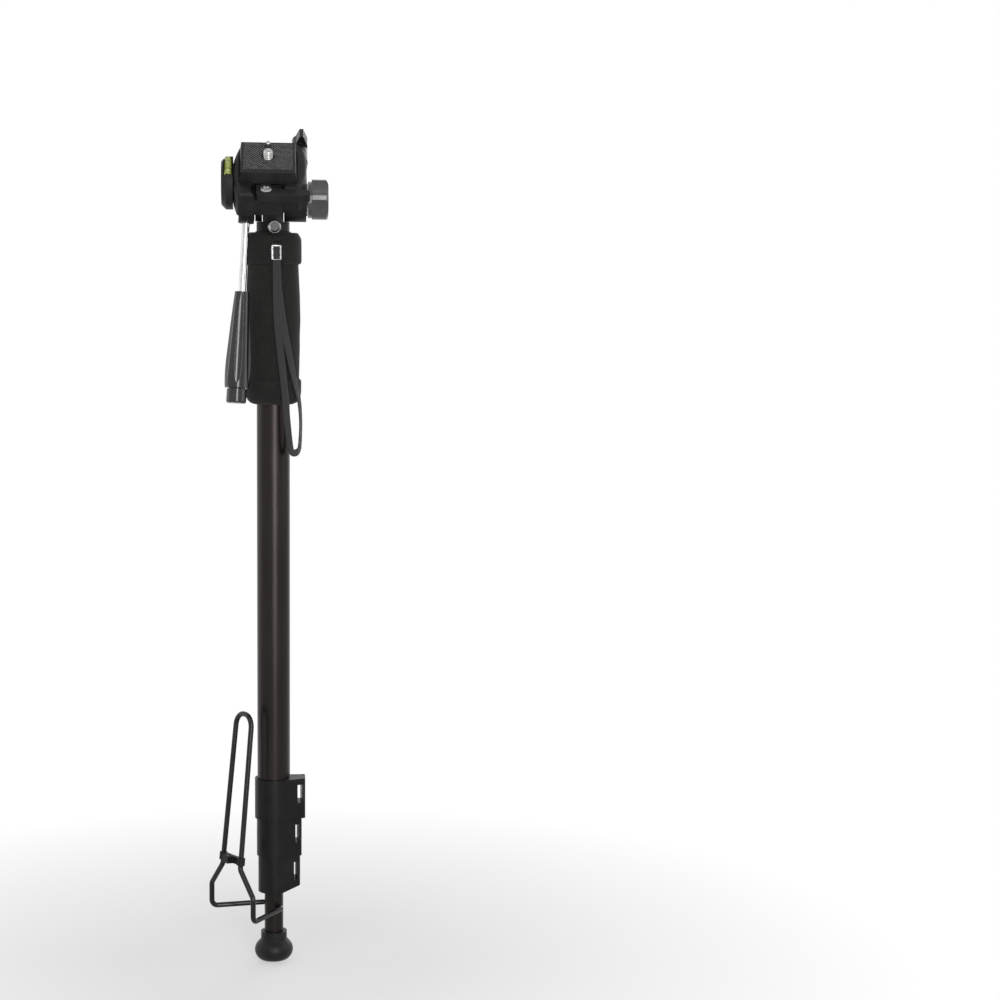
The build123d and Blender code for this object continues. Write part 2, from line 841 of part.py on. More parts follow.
def tilt_knob():
    """The round knob with broad shallow lobes, a stepped root and a domed end."""
    root = knob_left + knob_step_width
    lobed = bar(knob_radius, root, knob_right)
    for step in range(knob_lobes):
        lobe = Pos(knob_radius - knob_lobe_depth + knob_lobe_radius, 0, 0) * bar(
            knob_lobe_radius, root - overrun, knob_right + overrun)
        lobed -= Rot(0, 0, 360 * (step + 0.5) / knob_lobes) * lobe
    rim = (knob_radius, knob_right - knob_dome)
    shoulder = (knob_radius - knob_dome, knob_right - knob_dome / 4)
    turn = Polyline((0, knob_left), (knob_radius + overrun, knob_left), (knob_radius + overrun, rim[1]), rim)
    turn += ThreePointArc(rim, (knob_radius - knob_dome / 3, knob_right - knob_dome * 2 / 3), shoulder)
    turn += Polyline(shoulder, (0, knob_right), (0, knob_left))
    knob = lobed & revolve(Plane.XZ * make_face(turn), Axis.Z)
    knob += bar(knob_step_radius, knob_left, root)
    knob -= bar(knob_insert_radius + close_gap, knob_left - overrun, knob_left + knob_insert_depth)
    knob -= bar(axle_radius + sliding_gap, knob_left, axle_end + overrun)
    return along_x(Rot(0, 0, knob_turn) * knob)


def knob_insert():
    """The threaded hexagon nut that is moulded into the round knob."""
    nut = extrude(RegularPolygon(knob_insert_radius, 6), amount=knob_insert_depth - seat_gap)
    nut -= bar(axle_radius + sliding_gap, -overrun, knob_insert_depth + overrun)
    return along_x(Pos(0, 0, knob_left + close_gap) * nut)


# Tilt body and platform, in the head's own frame

def tilt_body():
    """The body that tilts: two cheeks, the deck above them and the hinge barrel."""
    body = cross_bar(barrel_radius, -cheek_left, cheek_right)
    body += block(-cheek_left, deck_inner_right, -deck_half, deck_half, 0, deck_top)
    body += block(-deck_left, deck_inner_right, -deck_half, deck_half, deck_bottom, deck_top)
    body += block(deck_inner_right - overrun, tower_right, -deck_half, flip_barrel_front, 0, deck_bottom)
    body += block(tower_left, tower_right, -flip_barrel_rear, flip_barrel_front,
                  deck_bottom - tower_root, flip_z)
    body += flip_bar(flip_barrel_radius, -flip_barrel_rear, flip_barrel_front)
    body -= block(-cheek_inner, cheek_inner, -barrel_radius * 2, barrel_radius * 2,
                  -barrel_radius * 2, tongue_clear_z)
    body -= cross_bar(tongue_clear_radius, -cheek_inner, cheek_inner)
    body -= cross_bar(axle_radius + close_gap, -cheek_left - overrun, cheek_right + overrun)
    body -= flip_bar(flip_bolt_radius + sliding_gap, -flip_barrel_rear - overrun, flip_barrel_front + overrun)
    left_top = body.edges().filter_by(Axis.Y).group_by(Axis.X)[0].sort_by(Axis.Z)[-1]
    return fillet(left_top, ear_round)


def platform_outline():
    """The barrel-shaped outline of the platform with its heel and shelf."""
    shift = Pos(plate_x, 0, 0)
    shelf = (shelf_right, right_rear[1])
    line = ThreePointArc(front_left, front_middle, front_right)
    line += ThreePointArc(front_right, right_middle, right_rear)
    line += Polyline(right_rear, shelf, (shelf_right, shelf_rear), (heel_right, shelf_rear),
                     (heel_right, heel_rear), (left_rear, heel_rear))
    line += ThreePointArc((left_rear, heel_rear), left_middle, front_left)
    face = make_face(line)
    for corner in (front_left, front_right):
        face = fillet(face.vertices().sort_by_distance(corner)[0], platform_corner)
    for corner in (right_rear, (left_rear, heel_rear)):
        face = fillet(face.vertices().sort_by_distance(corner)[0], platform_corner_rear)
    return shift * face


def platform():
    """The platform: a shell with a rounded rim, the plate's pocket and two hinge lugs."""
    outline = platform_outline()
    shell = Pos(0, 0, platform_skirt) * extrude(outline, amount=platform_top - platform_skirt)
    shell = fillet(shell.faces().sort_by(Axis.Z)[-1].edges(), platform_round)
    inside = offset(outline, amount=-platform_wall)
    shell -= Pos(0, 0, platform_skirt - overrun) * extrude(
        inside, amount=platform_under - platform_skirt + overrun)

    shell -= block(hinge_cut_x, hinge_cut_x * 3, -hinge_cut_rear, hinge_cut_front,
                   platform_skirt - overrun, hinge_cut_z)
    for near, far in ((lug_front_near, lug_front_far), (-lug_rear_far, -lug_rear_near)):
        shell += flip_bar(lug_radius, near, far)
        shell += block(flip_x - lug_web_half, flip_x + lug_web_half, near, far,
                       flip_z, hinge_cut_z + edge_break)
    shell -= flip_bar(flip_barrel_radius + flip_barrel_gap, -lug_rear_near, lug_front_near)
    shell -= flip_bar(wing_hub_radius + hub_gap, wing_hub_rear - washer_play, wing_front)
    shell -= flip_bar(flip_bolt_radius + sliding_gap, -flip_bolt_rear, wing_front)
    shell -= flip_bar(flip_bolt_head_radius + soft_gap, heel_rear, -lug_rear_far)

    shell += block(floor_left + plate_x, floor_right + plate_x, shelf_rear + platform_wall, floor_front,
                   floor_bottom, platform_under + overrun)
    shell += Pos(release_x, release_y, 0) * bar(screw_boss_radius, screw_boss_bottom, floor_top)
    shell -= Pos(release_x, release_y, 0) * bar(release_sweep, floor_top, platform_top + overrun)
    shell -= block(heel_right + plate_x, window_right + plate_x, heel_rear - overrun, window_front,
                   floor_top, platform_top + overrun)
    shell -= Pos(release_x, release_y, 0) * bar(release_screw_radius + sliding_gap,
                                                screw_boss_bottom - overrun, floor_top + overrun)
    arm_low = release_y - release_rear - release_arm_width
    shell -= block(release_x, release_x + release_arm_x * 2, arm_low,
                   release_y + release_cam_root[1] + seat_gap, floor_top, platform_top + overrun)

    half_x = plate_base_x / 2 + pocket_gap
    half_y = plate_base_y / 2 + pocket_gap
    shell -= block(plate_x - half_x, plate_x + half_x, -half_y, half_y, plate_bottom, platform_top + overrun)
    shell += block(plate_x - lip_half, plate_x + lip_half, half_y, half_y + lip_thick,
                   platform_under, platform_top + lip_height)
    for side in (-1, 1):
        middle = side * (stop_half - stop_thick)
        shell += block(-stop_left, -stop_left + stop_thick, middle - stop_thick, middle + stop_thick,
                       deck_top + seat_gap, platform_under + overrun)
    return shell


def flip_bolt():
    """The bolt of the flip hinge, with a hexagon head behind the rear lug."""
    bolt = bar(flip_bolt_radius, -lug_rear_far, flip_bolt_front)
    head = extrude(RegularPolygon(flip_bolt_head_radius, 6), amount=flip_bolt_rear - lug_rear_far - close_gap)
    bolt += Pos(0, 0, -flip_bolt_rear) * head
    bolt += bar(flip_bolt_radius, -lug_rear_far - overrun, -lug_rear_far + overrun)
    return Pos(flip_x, 0, flip_z) * along_y(bolt)


def wing_knob():
    """The wing knob: a long hub and two swept wings with finger ribs."""
    knob = bar(wing_hub_radius, wing_hub_rear, wing_rear + overrun)
    outline = Polyline((wing_shift - wing_tip_half, -wing_half), (wing_shift + wing_tip_half, -wing_half),
                       (wing_hub_radius, -wing_root_half), (wing_hub_radius, 0),
                       (wing_root_half, wing_root_half), (wing_tip_half - wing_shift, wing_half),
                       (-wing_tip_half - wing_shift, wing_half), (-wing_hub_radius, wing_root_half),
                       (-wing_hub_radius, 0), (-wing_root_half, -wing_root_half), close=True)
    wing = Pos(0, 0, wing_rear) * extrude(make_face(outline), amount=wing_front - wing_rear)
    wing += bar(wing_hub_radius, wing_rear, wing_front)
    roof = Polyline((-wing_half - overrun, wing_front - wing_slope), (0, wing_front),
                    (wing_half + overrun, wing_front - wing_slope),
                    (wing_half + overrun, wing_front + overrun),
                    (-wing_half - overrun, wing_front + overrun), close=True)
    wing -= extrude(Plane.YZ * make_face(roof), amount=wing_half, both=True)
    for step in range(wing_ribs):
        along = wing_rib_start + step * wing_rib_pitch
        share = (along - wing_root_half) / (wing_half - wing_root_half)
        for hand in (-1, 1):
            face_x = wing_hub_radius + share * (wing_shift + wing_tip_half - wing_hub_radius)
            rib = bar(wing_rib_radius, wing_rear, wing_front + overrun)
            wing -= Pos(-hand * face_x, hand * along, 0) * rib
    knob += wing
    knob -= bar(flip_bolt_radius + sliding_gap, wing_hub_rear - overrun, flip_bolt_front + seat_gap)
    return Pos(flip_x, 0, flip_z) * along_y(knob)


def camera_plate():
    """The hollow quick release plate with its tapered sides."""
    outer = loft([Pos(0, 0, plate_bottom) * Rectangle(plate_base_x, plate_base_y),
                  Pos(0, 0, plate_top) * Rectangle(plate_top_x, plate_top_y)])
    outer = fillet(outer.edges().group_by(Axis.Z)[-1], plate_round)
    outer -= Pos(0, 0, (plate_bottom + plate_top - plate_wall) / 2 - overrun / 2) * Box(
        plate_top_x - plate_wall * 2, plate_top_y - plate_wall * 2,
        plate_top - plate_wall - plate_bottom + overrun)
    tower = pin_flange_radius + sliding_gap + pin_housing_wall
    outer += Pos(0, pin_y, 0) * bar(tower, pin_spring_bottom, plate_top - plate_wall + overrun)
    outer -= Pos(0, pin_y, 0) * bar(pin_flange_radius + sliding_gap, pin_spring_bottom + edge_break,
                                    pin_flange_top)
    outer -= Pos(0, pin_y, 0) * bar(pin_radius + sliding_gap, pin_flange_top - overrun, plate_top + overrun)
    outer -= bar(screw_shank_radius + screw_hole_gap, clip_ring_top, plate_top + overrun)
    seat_x, seat_y = pad_x / 2 + sliding_gap, pad_y / 2 + sliding_gap
    outer -= block(-seat_x, seat_x, pad_shift_y - seat_y, pad_shift_y + seat_y,
                   plate_top - pad_seat, plate_top + overrun)
    return Pos(plate_x, 0, 0) * outer


def plate_pad():
    """The rubber pad let into the top of the plate."""
    low = plate_top - pad_seat + sliding_gap
    pad = block(-pad_x / 2, pad_x / 2, pad_shift_y - pad_y / 2, pad_shift_y + pad_y / 2,
                low, low + pad_thick)
    pad -= bar(pad_screw_hole, low - overrun, low + pad_thick + overrun)
    pad -= Pos(0, pin_y, 0) * bar(pad_pin_hole, low - overrun, low + pad_thick + overrun)
    return Pos(plate_x, 0, 0) * pad


def camera_screw():
    """The camera screw: a slotted head under the plate and the thread above it."""
    screw = bar(screw_head_radius, screw_head_bottom, screw_head_top)
    screw += bar(screw_shank_radius, screw_head_bottom, screw_thread_bottom)
    screw += bar(screw_thread_radius, screw_thread_bottom, screw_thread_top)
    screw += Pos(0, 0, screw_thread_top) * Cone(screw_thread_radius, screw_chamfer_radius,
                                                screw_top - screw_thread_top, align=UPRIGHT)
    slot = block(-screw_head_radius, screw_head_radius, -edge_break, edge_break,
                 screw_head_bottom - overrun, screw_head_bottom + edge_break * 2)
    return Pos(plate_x, 0, 0) * (screw - slot)


def screw_clip():
    """The retaining ring that keeps the camera screw in the plate."""
    return Pos(plate_x, 0, 0) * ring(clip_ring_radius, screw_shank_radius + close_gap,
                                     clip_ring_bottom, clip_ring_top)


def video_pin():
    """The sprung pin that stops a camera from twisting."""
    pin = bar(pin_radius, pin_flange_bottom, pin_top - pin_slope)
    pin += Pos(0, 0, pin_top - pin_slope) * Cone(pin_radius, pin_radius - pin_slope, pin_slope, align=UPRIGHT)
    pin += bar(pin_flange_radius, pin_flange_bottom, pin_flange_top - close_gap)
    return Pos(plate_x, pin_y, 0) * pin


def coil(radius, wire, low, high, turns):
    """A round wire spring between two heights, its turns worked out from the count."""
    height = high - low - wire * 2
    path = Pos(0, 0, low + wire) * Helix(pitch=height / turns, height=height, radius=radius)
    start = Plane(origin=path @ 0, z_dir=path % 0)
    return sweep(start * Circle(wire), path=path, is_frenet=True)


def pin_spring():
    spring = coil(pin_spring_radius, pin_spring_wire, pin_spring_bottom + edge_break + sliding_gap,
                  pin_flange_bottom - sliding_gap, pin_spring_turns)
    return Pos(plate_x, pin_y, 0) * spring


def lever_spring():
    spring = coil(lever_spring_radius, lever_spring_wire, release_bottom,
                  release_bottom + lever_spring_height, lever_spring_turns)
    return Pos(release_x, release_y, 0) * spring


def release_lever():
    """The quick release lever: a cam body on its screw and a long finger arm."""
    body = Polyline((-release_left, release_front), release_cam, release_cam_root,
                    (release_arm_x - release_arm_width / 2, release_cam_root[1]),
                    (release_arm_x - release_arm_width / 2, -release_rear),
                    (-release_left, -release_rear), close=True)
    face = make_face(body)
    face = fillet(face.vertices().sort_by_distance((-release_left, -release_rear))[0], release_corner)
    lever = Pos(0, 0, release_bottom) * extrude(face, amount=release_top - release_bottom)
    arm_round = (-release_rear + release_cam_root[1]) / 2
    tip_radius = (release_rear + release_cam_root[1]) / 2
    tip_x = release_arm_x - release_arm_width / 2
    lever += Pos(tip_x, arm_round, 0) * bar(tip_radius, release_bottom, release_top)
    for step in range(release_knurls):
        turn = radians(180 * step / (release_knurls - 1) - 90)
        x = tip_x + tip_radius * cos(turn)
        y = arm_round + tip_radius * sin(turn)
        lever -= Pos(x, y, 0) * bar(release_knurl_radius, release_bottom - overrun, release_top + overrun)
    relief = block(-release_left - overrun, release_cam[0] + overrun, 0, release_front + overrun,
                   release_step, release_top + overrun)
    lever -= relief - bar(release_front, release_step - overrun, release_top + overrun * 2)
    lever -= bar(release_recess_radius, release_top - release_recess_depth, release_top + overrun)
    lever -= bar(release_screw_radius + sliding_gap, release_bottom - overrun, release_top + overrun)
    lever -= bar(lever_spring_recess, release_bottom - overrun,
                 release_bottom + lever_spring_height + sliding_gap)
    return Pos(release_x, release_y, 0) * lever


def lever_screw():
    """The cross-head screw that the release lever turns on."""
    top = release_top - sliding_gap
    head_low = release_top - release_recess_depth + sliding_gap
    screw = bar(release_head_radius, head_low, top)
    screw = fillet(screw.edges().group_by(Axis.Z)[-1], edge_break)
    screw += bar(release_screw_radius, screw_boss_bottom + overrun, head_low + sliding_gap)
    return Pos(release_x, release_y, 0) * screw


def level_housing():
    """The half-disc housing on the platform's left side, open above the vial."""
    disc = bar(level_radius, -level_left, -level_right)
    disc = chamfer(disc.edges().group_by(Axis.Z)[0], level_chamfer)
    housing = Pos(0, level_y, level_z) * along_x(disc)
    shell_x = -level_right + overrun
    housing -= block(-level_left - overrun, shell_x, level_y - level_radius * 2, level_y + level_radius * 2,
                     level_z - level_radius * 2, level_floor_z)
    window = block(-level_window_left, -level_right + overrun, level_y - level_window_half,
                   level_y + level_window_half, level_z + level_radius - level_window_depth,
                   level_z + level_radius + overrun)
    housing -= window
    housing -= Pos(0, 0, platform_skirt - level_radius) * extrude(
        offset(platform_outline(), amount=sliding_gap), amount=level_radius * 4)
    return housing


def level_vial():
    """The glass vial with its two marking rings."""
    low, high = level_y - vial_half, level_y + vial_half
    vial = bar(vial_radius, low, high)
    vial = fillet(vial.edges(), edge_break * 2)
    for side in (-1, 1):
        middle = level_y + side * vial_ring_half
        vial += bar(vial_radius + vial_ring_height, middle - vial_ring_width / 2,
                    middle + vial_ring_width / 2)
    return Pos(-vial_x, 0, vial_z) * along_y(vial)


# Handle

def handle_boss():
    """The boss on the tilt axle with the socket that takes the handle's rod."""
    boss = cross_bar(boss_radius, -boss_left, -boss_right)
    dish = cross_bar(boss_radius - boss_rim, -boss_left - overrun, -boss_left + boss_dish)
    dish -= cross_bar(axle_head_radius + boss_rim, -boss_left - overrun * 2,
                      -boss_left + boss_dish + overrun)
    boss = on_axle(boss - dish)
    boss += on_handle(bar(stub_radius, -stub_end, -stub_start))
    boss -= on_handle(bar(rod_radius + close_gap, -stub_end - overrun, -rod_start + seat_gap))
    return boss - on_axle(cross_bar(axle_radius + sliding_gap, -boss_left - overrun, -boss_right + overrun))


def handle_rod():
    return on_handle(bar(rod_radius, -rod_end, -rod_start))


def handle_grip():
    """The grip: a tapered body whose flutes deepen towards its lower end."""
    length = grip_end - grip_start
    points = [(radius, -grip_start - share * length) for radius, share in zip(grip_radii, grip_shares)]
    side = Spline(*points)
    rest = Polyline(points[-1], (0, -grip_end), (0, -grip_start), points[0])
    grip = revolve(Plane.XZ * make_face(side + rest), Axis.Z)
    lean = degrees(atan2(grip_flute_bottom - grip_flute_top, length))
    for step in range(grip_flutes):
        lift = Pos(-grip_flute_bottom + grip_radii[0], 0, -grip_start)
        cut = lift * Pos(grip_flute_radius + grip_flute_bottom, 0, 0) * Rot(0, -lean, 0) * bar(
            grip_flute_radius, -length - overrun, overrun)
        grip -= Rot(0, 0, 360 * (step + 0.5) / grip_flutes) * cut
    return on_handle(grip - bar(rod_radius + close_gap, -rod_end, -rod_start))


def handle_cap():
    """The end cap of the grip, below a narrow groove."""
    low = -grip_end - grip_groove - cap_length
    cap = bar(cap_radius, low, -grip_end - grip_groove)
    cap = fillet(cap.edges().group_by(Axis.Z)[0], cap_round)
    cap += bar(grip_groove_radius, -grip_end - grip_groove - overrun, -grip_end)
    return on_handle(cap - bar(rod_radius + close_gap, -rod_end - seat_gap, -rod_start))


pieces = {
    "foot_plug": foot_plug(),
    "spike": spike(),
    "rubber_foot": rubber_foot(),
    "stirrup": foot_loop(),
    "stirrup_clip": stirrup_clip(),
    "foam_grip": foam_grip(),
    "wrist_strap": wrist_strap(),
    "strap_ferrule": strap_ferrule(),
    "tube_label": tube_label(),
    "mount_cap": mount_cap(),
    "pan_washer": pan_washer(),
    "pan_screw": pan_screw(),
    "pan_body": pan_body(),
    "pan_lock_knob": pan_lock_knob(),
    "tilt_axle": on_axle(tilt_axle()),
    "handle_washer": on_axle(handle_washer()),
    "tongue_washer_left": on_axle(tongue_washer(-1)),
    "tongue_washer_right": on_axle(tongue_washer(1)),
    "serrated_washer": on_axle(serrated_washer()),
    "tilt_knob": on_axle(tilt_knob()),
    "knob_insert": on_axle(knob_insert()),
    "handle_boss": handle_boss(),
    "handle_rod": handle_rod(),
    "handle_grip": handle_grip(),
    "handle_end_cap": handle_cap(),
    "tilt_body": on_head(tilt_body()),
    "platform": on_head(platform()),
    "flip_bolt": on_head(flip_bolt()),
    "wing_knob": on_head(wing_knob()),
    "camera_plate": on_head(camera_plate()),
    "plate_pad": on_head(plate_pad()),
    "camera_screw": on_head(camera_screw()),
    "screw_clip": on_head(screw_clip()),
    "video_pin": on_head(video_pin()),
    "pin_spring": on_head(pin_spring()),
    "release_lever": on_head(release_lever()),
    "lever_screw": on_head(lever_screw()),
    "lever_spring": on_head(lever_spring()),
    "level_housing": on_head(level_housing()),
    "level_vial": on_head(level_vial()),
}
for index in range(len(tube_radii)):
    pieces[f"tube_{index + 1}"] = column_tube(index)
for index in range(1, len(tube_radii)):
    pieces[f"tube_bush_{index + 1}"] = sliding_bush(index)
for index in range(len(collar_bottoms)):
    pieces[f"lock_collar_{index + 1}"] = lock_collar(index)
    pieces[f"lock_lever_{index + 1}"] = lock_lever(index)
    pieces[f"lever_pin_{index + 1}"] = lever_pin(index)
    pieces[f"lock_bolt_{index + 1}"] = lock_bolt(index)

for name, shape in pieces.items():
    export_step(shape, f"parts/{name}.step")
    print(name, round(shape.volume, 1))
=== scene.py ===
import json
from math import cos, pi, radians, sin, sqrt

import bmesh
import bpy
import numpy as np
from mathutils import Matrix, Quaternion, Vector

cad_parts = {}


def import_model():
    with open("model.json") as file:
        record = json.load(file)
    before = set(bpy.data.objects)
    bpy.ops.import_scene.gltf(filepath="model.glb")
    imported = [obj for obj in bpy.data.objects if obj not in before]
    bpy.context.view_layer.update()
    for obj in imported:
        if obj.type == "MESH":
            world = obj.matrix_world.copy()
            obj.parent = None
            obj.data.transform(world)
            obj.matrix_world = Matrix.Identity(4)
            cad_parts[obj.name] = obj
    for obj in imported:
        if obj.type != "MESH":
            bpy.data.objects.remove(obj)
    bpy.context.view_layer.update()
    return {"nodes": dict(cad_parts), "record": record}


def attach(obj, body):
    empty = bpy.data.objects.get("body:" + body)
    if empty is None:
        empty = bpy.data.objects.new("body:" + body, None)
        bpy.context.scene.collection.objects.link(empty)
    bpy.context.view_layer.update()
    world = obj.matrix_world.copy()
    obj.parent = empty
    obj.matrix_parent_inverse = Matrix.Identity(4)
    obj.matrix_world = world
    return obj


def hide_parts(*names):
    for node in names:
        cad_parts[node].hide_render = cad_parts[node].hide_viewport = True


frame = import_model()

# The head's own frame, as in the part's source, in metres
MM = 0.001
TILT_AXIS_Z = 531.0 * MM
HEAD_PITCH = 39.5
HEAD = Matrix.Translation((0, 0, TILT_AXIS_Z)) @ Matrix.Rotation(radians(HEAD_PITCH), 4, "X")
PLATE_X = -3.2 * MM

# Pad
PAD_X, PAD_Y = 33.0 * MM, 28.8 * MM
PAD_SHIFT_Y = 0.3 * MM
PAD_LOW, PAD_HIGH = 34.45 * MM, 35.25 * MM
PAD_STEP = 0.165 * MM
PAD_PITCH = 2.3 * MM
PAD_GROOVE = 0.62 * MM
PAD_VALLEY, PAD_CREST = 0.42, 0.70
PAD_SCREW_HOLE, PAD_PIN_HOLE = 4.45 * MM, 2.2 * MM
PIN_Y = 11.8 * MM

# Camera screw
SCREW_HEAD_RADIUS, SCREW_HEAD_LOW, SCREW_HEAD_HIGH = 7.5 * MM, 27.3 * MM, 29.3 * MM
SCREW_SHANK_RADIUS = 3.0 * MM
SCREW_RADIUS, SCREW_LOW, SCREW_HIGH, SCREW_TOP = 3.175 * MM, 33.4 * MM, 39.6 * MM, 40.2 * MM
SCREW_HEAD_EDGE, SCREW_HEAD_MIDDLE = 0.3 * MM, 0.5 * MM
SCREW_BEVEL, SCREW_BEVEL_SLOPE = 0.4 * MM, 0.75
SCREW_END_STEP, SCREW_DIMPLE_EDGE, SCREW_DIMPLE_FLOOR = 0.9 * MM, 0.6 * MM, 1.0 * MM
SCREW_DIMPLE_DEPTH, SCREW_DIMPLE_BOTTOM, SCREW_DIMPLE_MIDDLE = 0.3 * MM, 0.35 * MM, 0.4 * MM
SCREW_SEGMENTS, THREAD_ROWS = 40, 10
THREAD_PITCH, THREAD_DEPTH = 1.27 * MM, 0.55 * MM
THREAD_CREST, THREAD_FLANK = 1.25, 3.2

# Screw of the release lever
CROSS_X, CROSS_Y = -4.6 * MM, -23.9 * MM
CROSS_RADIUS, CROSS_TOP, CROSS_BOTTOM = 3.9 * MM, 26.95 * MM, 25.45 * MM
CROSS_DEPTH, CROSS_ARM, CROSS_HALF = 0.9 * MM, 2.3 * MM, 0.52 * MM
CROSS_FLANK, CROSS_RISE, CROSS_DOME, CROSS_TURN = 0.16 * MM, 0.55, 0.35 * MM, 38
CROSS_RINGS, CROSS_SEGMENTS = 26, 72

# Spirit vial
VIAL_X, VIAL_Y, VIAL_Z = -30.0 * MM, -4.0 * MM, 29.0 * MM
VIAL_RADIUS, VIAL_HALF = 2.5 * MM, 9.4 * MM
VIAL_MARK, VIAL_MARK_WIDTH, VIAL_MARK_BED, VIAL_MARK_SKIN = 4.05 * MM, 0.3 * MM, 0.1 * MM, 0.04 * MM
VIAL_ROUND, VIAL_POLE = 0.9 * MM, 0.3 * MM
VIAL_SEGMENTS, VIAL_ROUND_STEPS = 40, 8
BUBBLE_Y, BUBBLE_HALF, BUBBLE_RADIUS = -11.0 * MM, 1.5 * MM, 1.05 * MM
BUBBLE_X, BUBBLE_SINK, BUBBLE_POLE = 0.2 * MM, 0.92, 0.05 * MM
BUBBLE_SEGMENTS, BUBBLE_ROWS = 24, 16

# Lock knob of the turning base
LOCK_KNOB_X, LOCK_KNOB_Z = 1.0 * MM, 511.8 * MM
LOCK_KNOB_MIDDLE, LOCK_KNOB_RIM, LOCK_KNOB_STEP = 2.7 * MM, 3.8 * MM, 0.3 * MM

# Foam sleeve
FOAM_BORE = 11.6 * MM
FOAM_PROFILE = [
    (11.6, 392.0), (13.4, 392.1), (15.8, 393.1), (17.6, 395.0), (18.7, 397.6), (19.1, 400.6),
    (19.1, 406.6), (18.9, 408.4), (18.2, 409.1), (17.7, 409.5), (17.5, 410.4), (17.8, 418.0),
    (18.2, 430.0), (18.5, 449.0), (18.2, 466.0), (17.5, 480.0), (17.15, 486.4), (17.4, 487.3),
    (18.6, 487.7), (19.2, 488.6), (19.3, 490.0), (19.3, 503.2), (19.0, 505.0), (17.2, 508.1),
    (16.6, 508.4), (13.0, 508.4), (11.6, 508.2),
]
FOAM_SEGMENTS = 192
FOAM_STEP = 0.9 * MM
FOAM_INNER_SKIN = 0.5 * MM
FOAM_WOBBLE = 0.16 * MM
FOAM_WAVES, FOAM_WAVE_FIRST, FOAM_WAVE_STEP = 6, 90, 55
FOAM_SEED = 7
FOAM_CELL = 0.55 * MM
SLIT_X, SLIT_Z, SLIT_HALF, SLIT_HIGH, SLIT_DEPTH = 2.2 * MM, 502.1 * MM, 2.8 * MM, 0.8 * MM, 3.6 * MM

# Wrist strap, the same route as in the part's source
STRAP_ROUTE = [
    (2.2, -20.2, 499.0), (2.2, -20.2, 474.0), (2.4, -20.1, 450.0), (5.0, -19.6, 426.0),
    (6.9, -18.9, 409.0), (8.4, -18.3, 393.0), (9.8, -17.5, 377.0), (11.2, -16.4, 365.0),
    (12.4, -15.6, 359.0), (17.4, -10.2, 359.6), (18.3, -8.4, 367.0), (18.8, -7.4, 381.0),
    (17.6, -10.0, 396.0), (14.2, -14.2, 409.0), (10.8, -17.0, 425.0), (7.4, -18.8, 442.0),
    (4.9, -19.6, 458.0), (3.3, -20.1, 471.0), (2.4, -20.2, 487.0), (2.3, -20.2, 499.0),
]
STRAP_WIDTH, STRAP_THICK = 5.0 * MM, 0.8 * MM
STRAP_SELVEDGE, STRAP_CORNER, STRAP_SHOULDER = 0.9 * MM, 0.3 * MM, 0.8
WEAVE_PER_METRE = 1000

# Ferrule
FERRULE_X, FERRULE_LOW, FERRULE_HIGH = 2.2 * MM, 490.0 * MM, 499.7 * MM
FERRULE_HALF, FERRULE_NEAR, FERRULE_FAR = 3.5 * MM, 19.6 * MM, 21.05 * MM
FERRULE_MIDDLE = 20.3 * MM
FERRULE_CORNER, FERRULE_INSET = 0.6 * MM, 0.2 * MM
FERRULE_ROWS = 40
PRESS_DEPTH, PRESS_PLACES, PRESS_REACH, PRESS_WAVE = 0.22 * MM, (0.3, 0.7), 0.071, 22
LIP_DEPTH, LIP_REACH = 0.25 * MM, 0.05

# Camera of the left view: the object stands left of the middle of the frame
CAMERA_DISTANCE, CAMERA_HEIGHT = 1.418, 0.460
CAMERA_YAW, CAMERA_DIP, CAMERA_ROLL = 6.32, 5.38, 0.52
SENSOR_WIDTH = 36.0
FOCAL_PIXELS, FRAME_PIXELS = 2055.0, 1000.0
CAMERA_NEAR, CAMERA_FAR = 0.05, 50

# Soft lamps: name, place, width, height and power; all of them point at one place on the column
LAMP_AIM = (0, 0, 0.35)
LAMPS = [
    ("box", (0.27, -1.5, 0.42), 0.42, 1.5, 18),
    ("key", (-0.5, -1.1, 1.6), 0.8, 0.8, 4),
    ("right", (1.5, -0.3, 0.8), 0.7, 1.2, 3),
    ("left", (-1.4, 0.3, 0.6), 0.5, 1.2, 1.5),
    ("rim", (0.7, 1.3, 0.9), 0.8, 1.2, 5),
]
WORLD_LIGHT = 0.22

# Floor: how far it reaches, and where it fades from taking the shadow to plain white
FLOOR_HALF, FLOOR_DROP = 6.0, 0.5 * MM
FLOOR_NEAR, FLOOR_FAR, FLOOR_PLAIN = 0.10, 0.45, 0.5

# The black of the smooth moulded parts, at its darkest and its palest
BLACK = (0.0055, 0.0052, 0.0050)
SOFT_BLACK = (0.010, 0.0095, 0.0092)

# How much paler an outer edge is than its plastic: partly wear, partly a painted highlight
EDGE_WEAR_HIGHLIGHT_GAIN, EDGE_WEAR_HIGHLIGHT_LIFT = 3.2, 0.02


# Node helpers

def new_material(name):
    """An empty material with a Principled shader, ready for its own nodes."""
    made = bpy.data.materials.new(name)
    made.use_nodes = True
    tree = made.node_tree
    tree.nodes.clear()
    out = tree.nodes.new("ShaderNodeOutputMaterial")
    shader = tree.nodes.new("ShaderNodeBsdfPrincipled")
    tree.links.new(shader.outputs["BSDF"], out.inputs["Surface"])
    return made, tree, shader


def add(tree, kind, inputs=None, **settings):
    """A node with its settings, and its inputs as values or linked sockets."""
    made = tree.nodes.new(kind)
    for key, value in settings.items():
        setattr(made, key, value)
    for key, value in (inputs or {}).items():
        if isinstance(value, bpy.types.NodeSocket):
            tree.links.new(value, made.inputs[key])
        else:
            made.inputs[key].default_value = value
    return made


def object_place(tree, scale=(1, 1, 1)):
    """Object coordinates in metres, stretched by a factor on each axis."""
    place = add(tree, "ShaderNodeTexCoord").outputs["Object"]
    return add(tree, "ShaderNodeMapping", {"Vector": place, "Scale": scale}).outputs["Vector"]


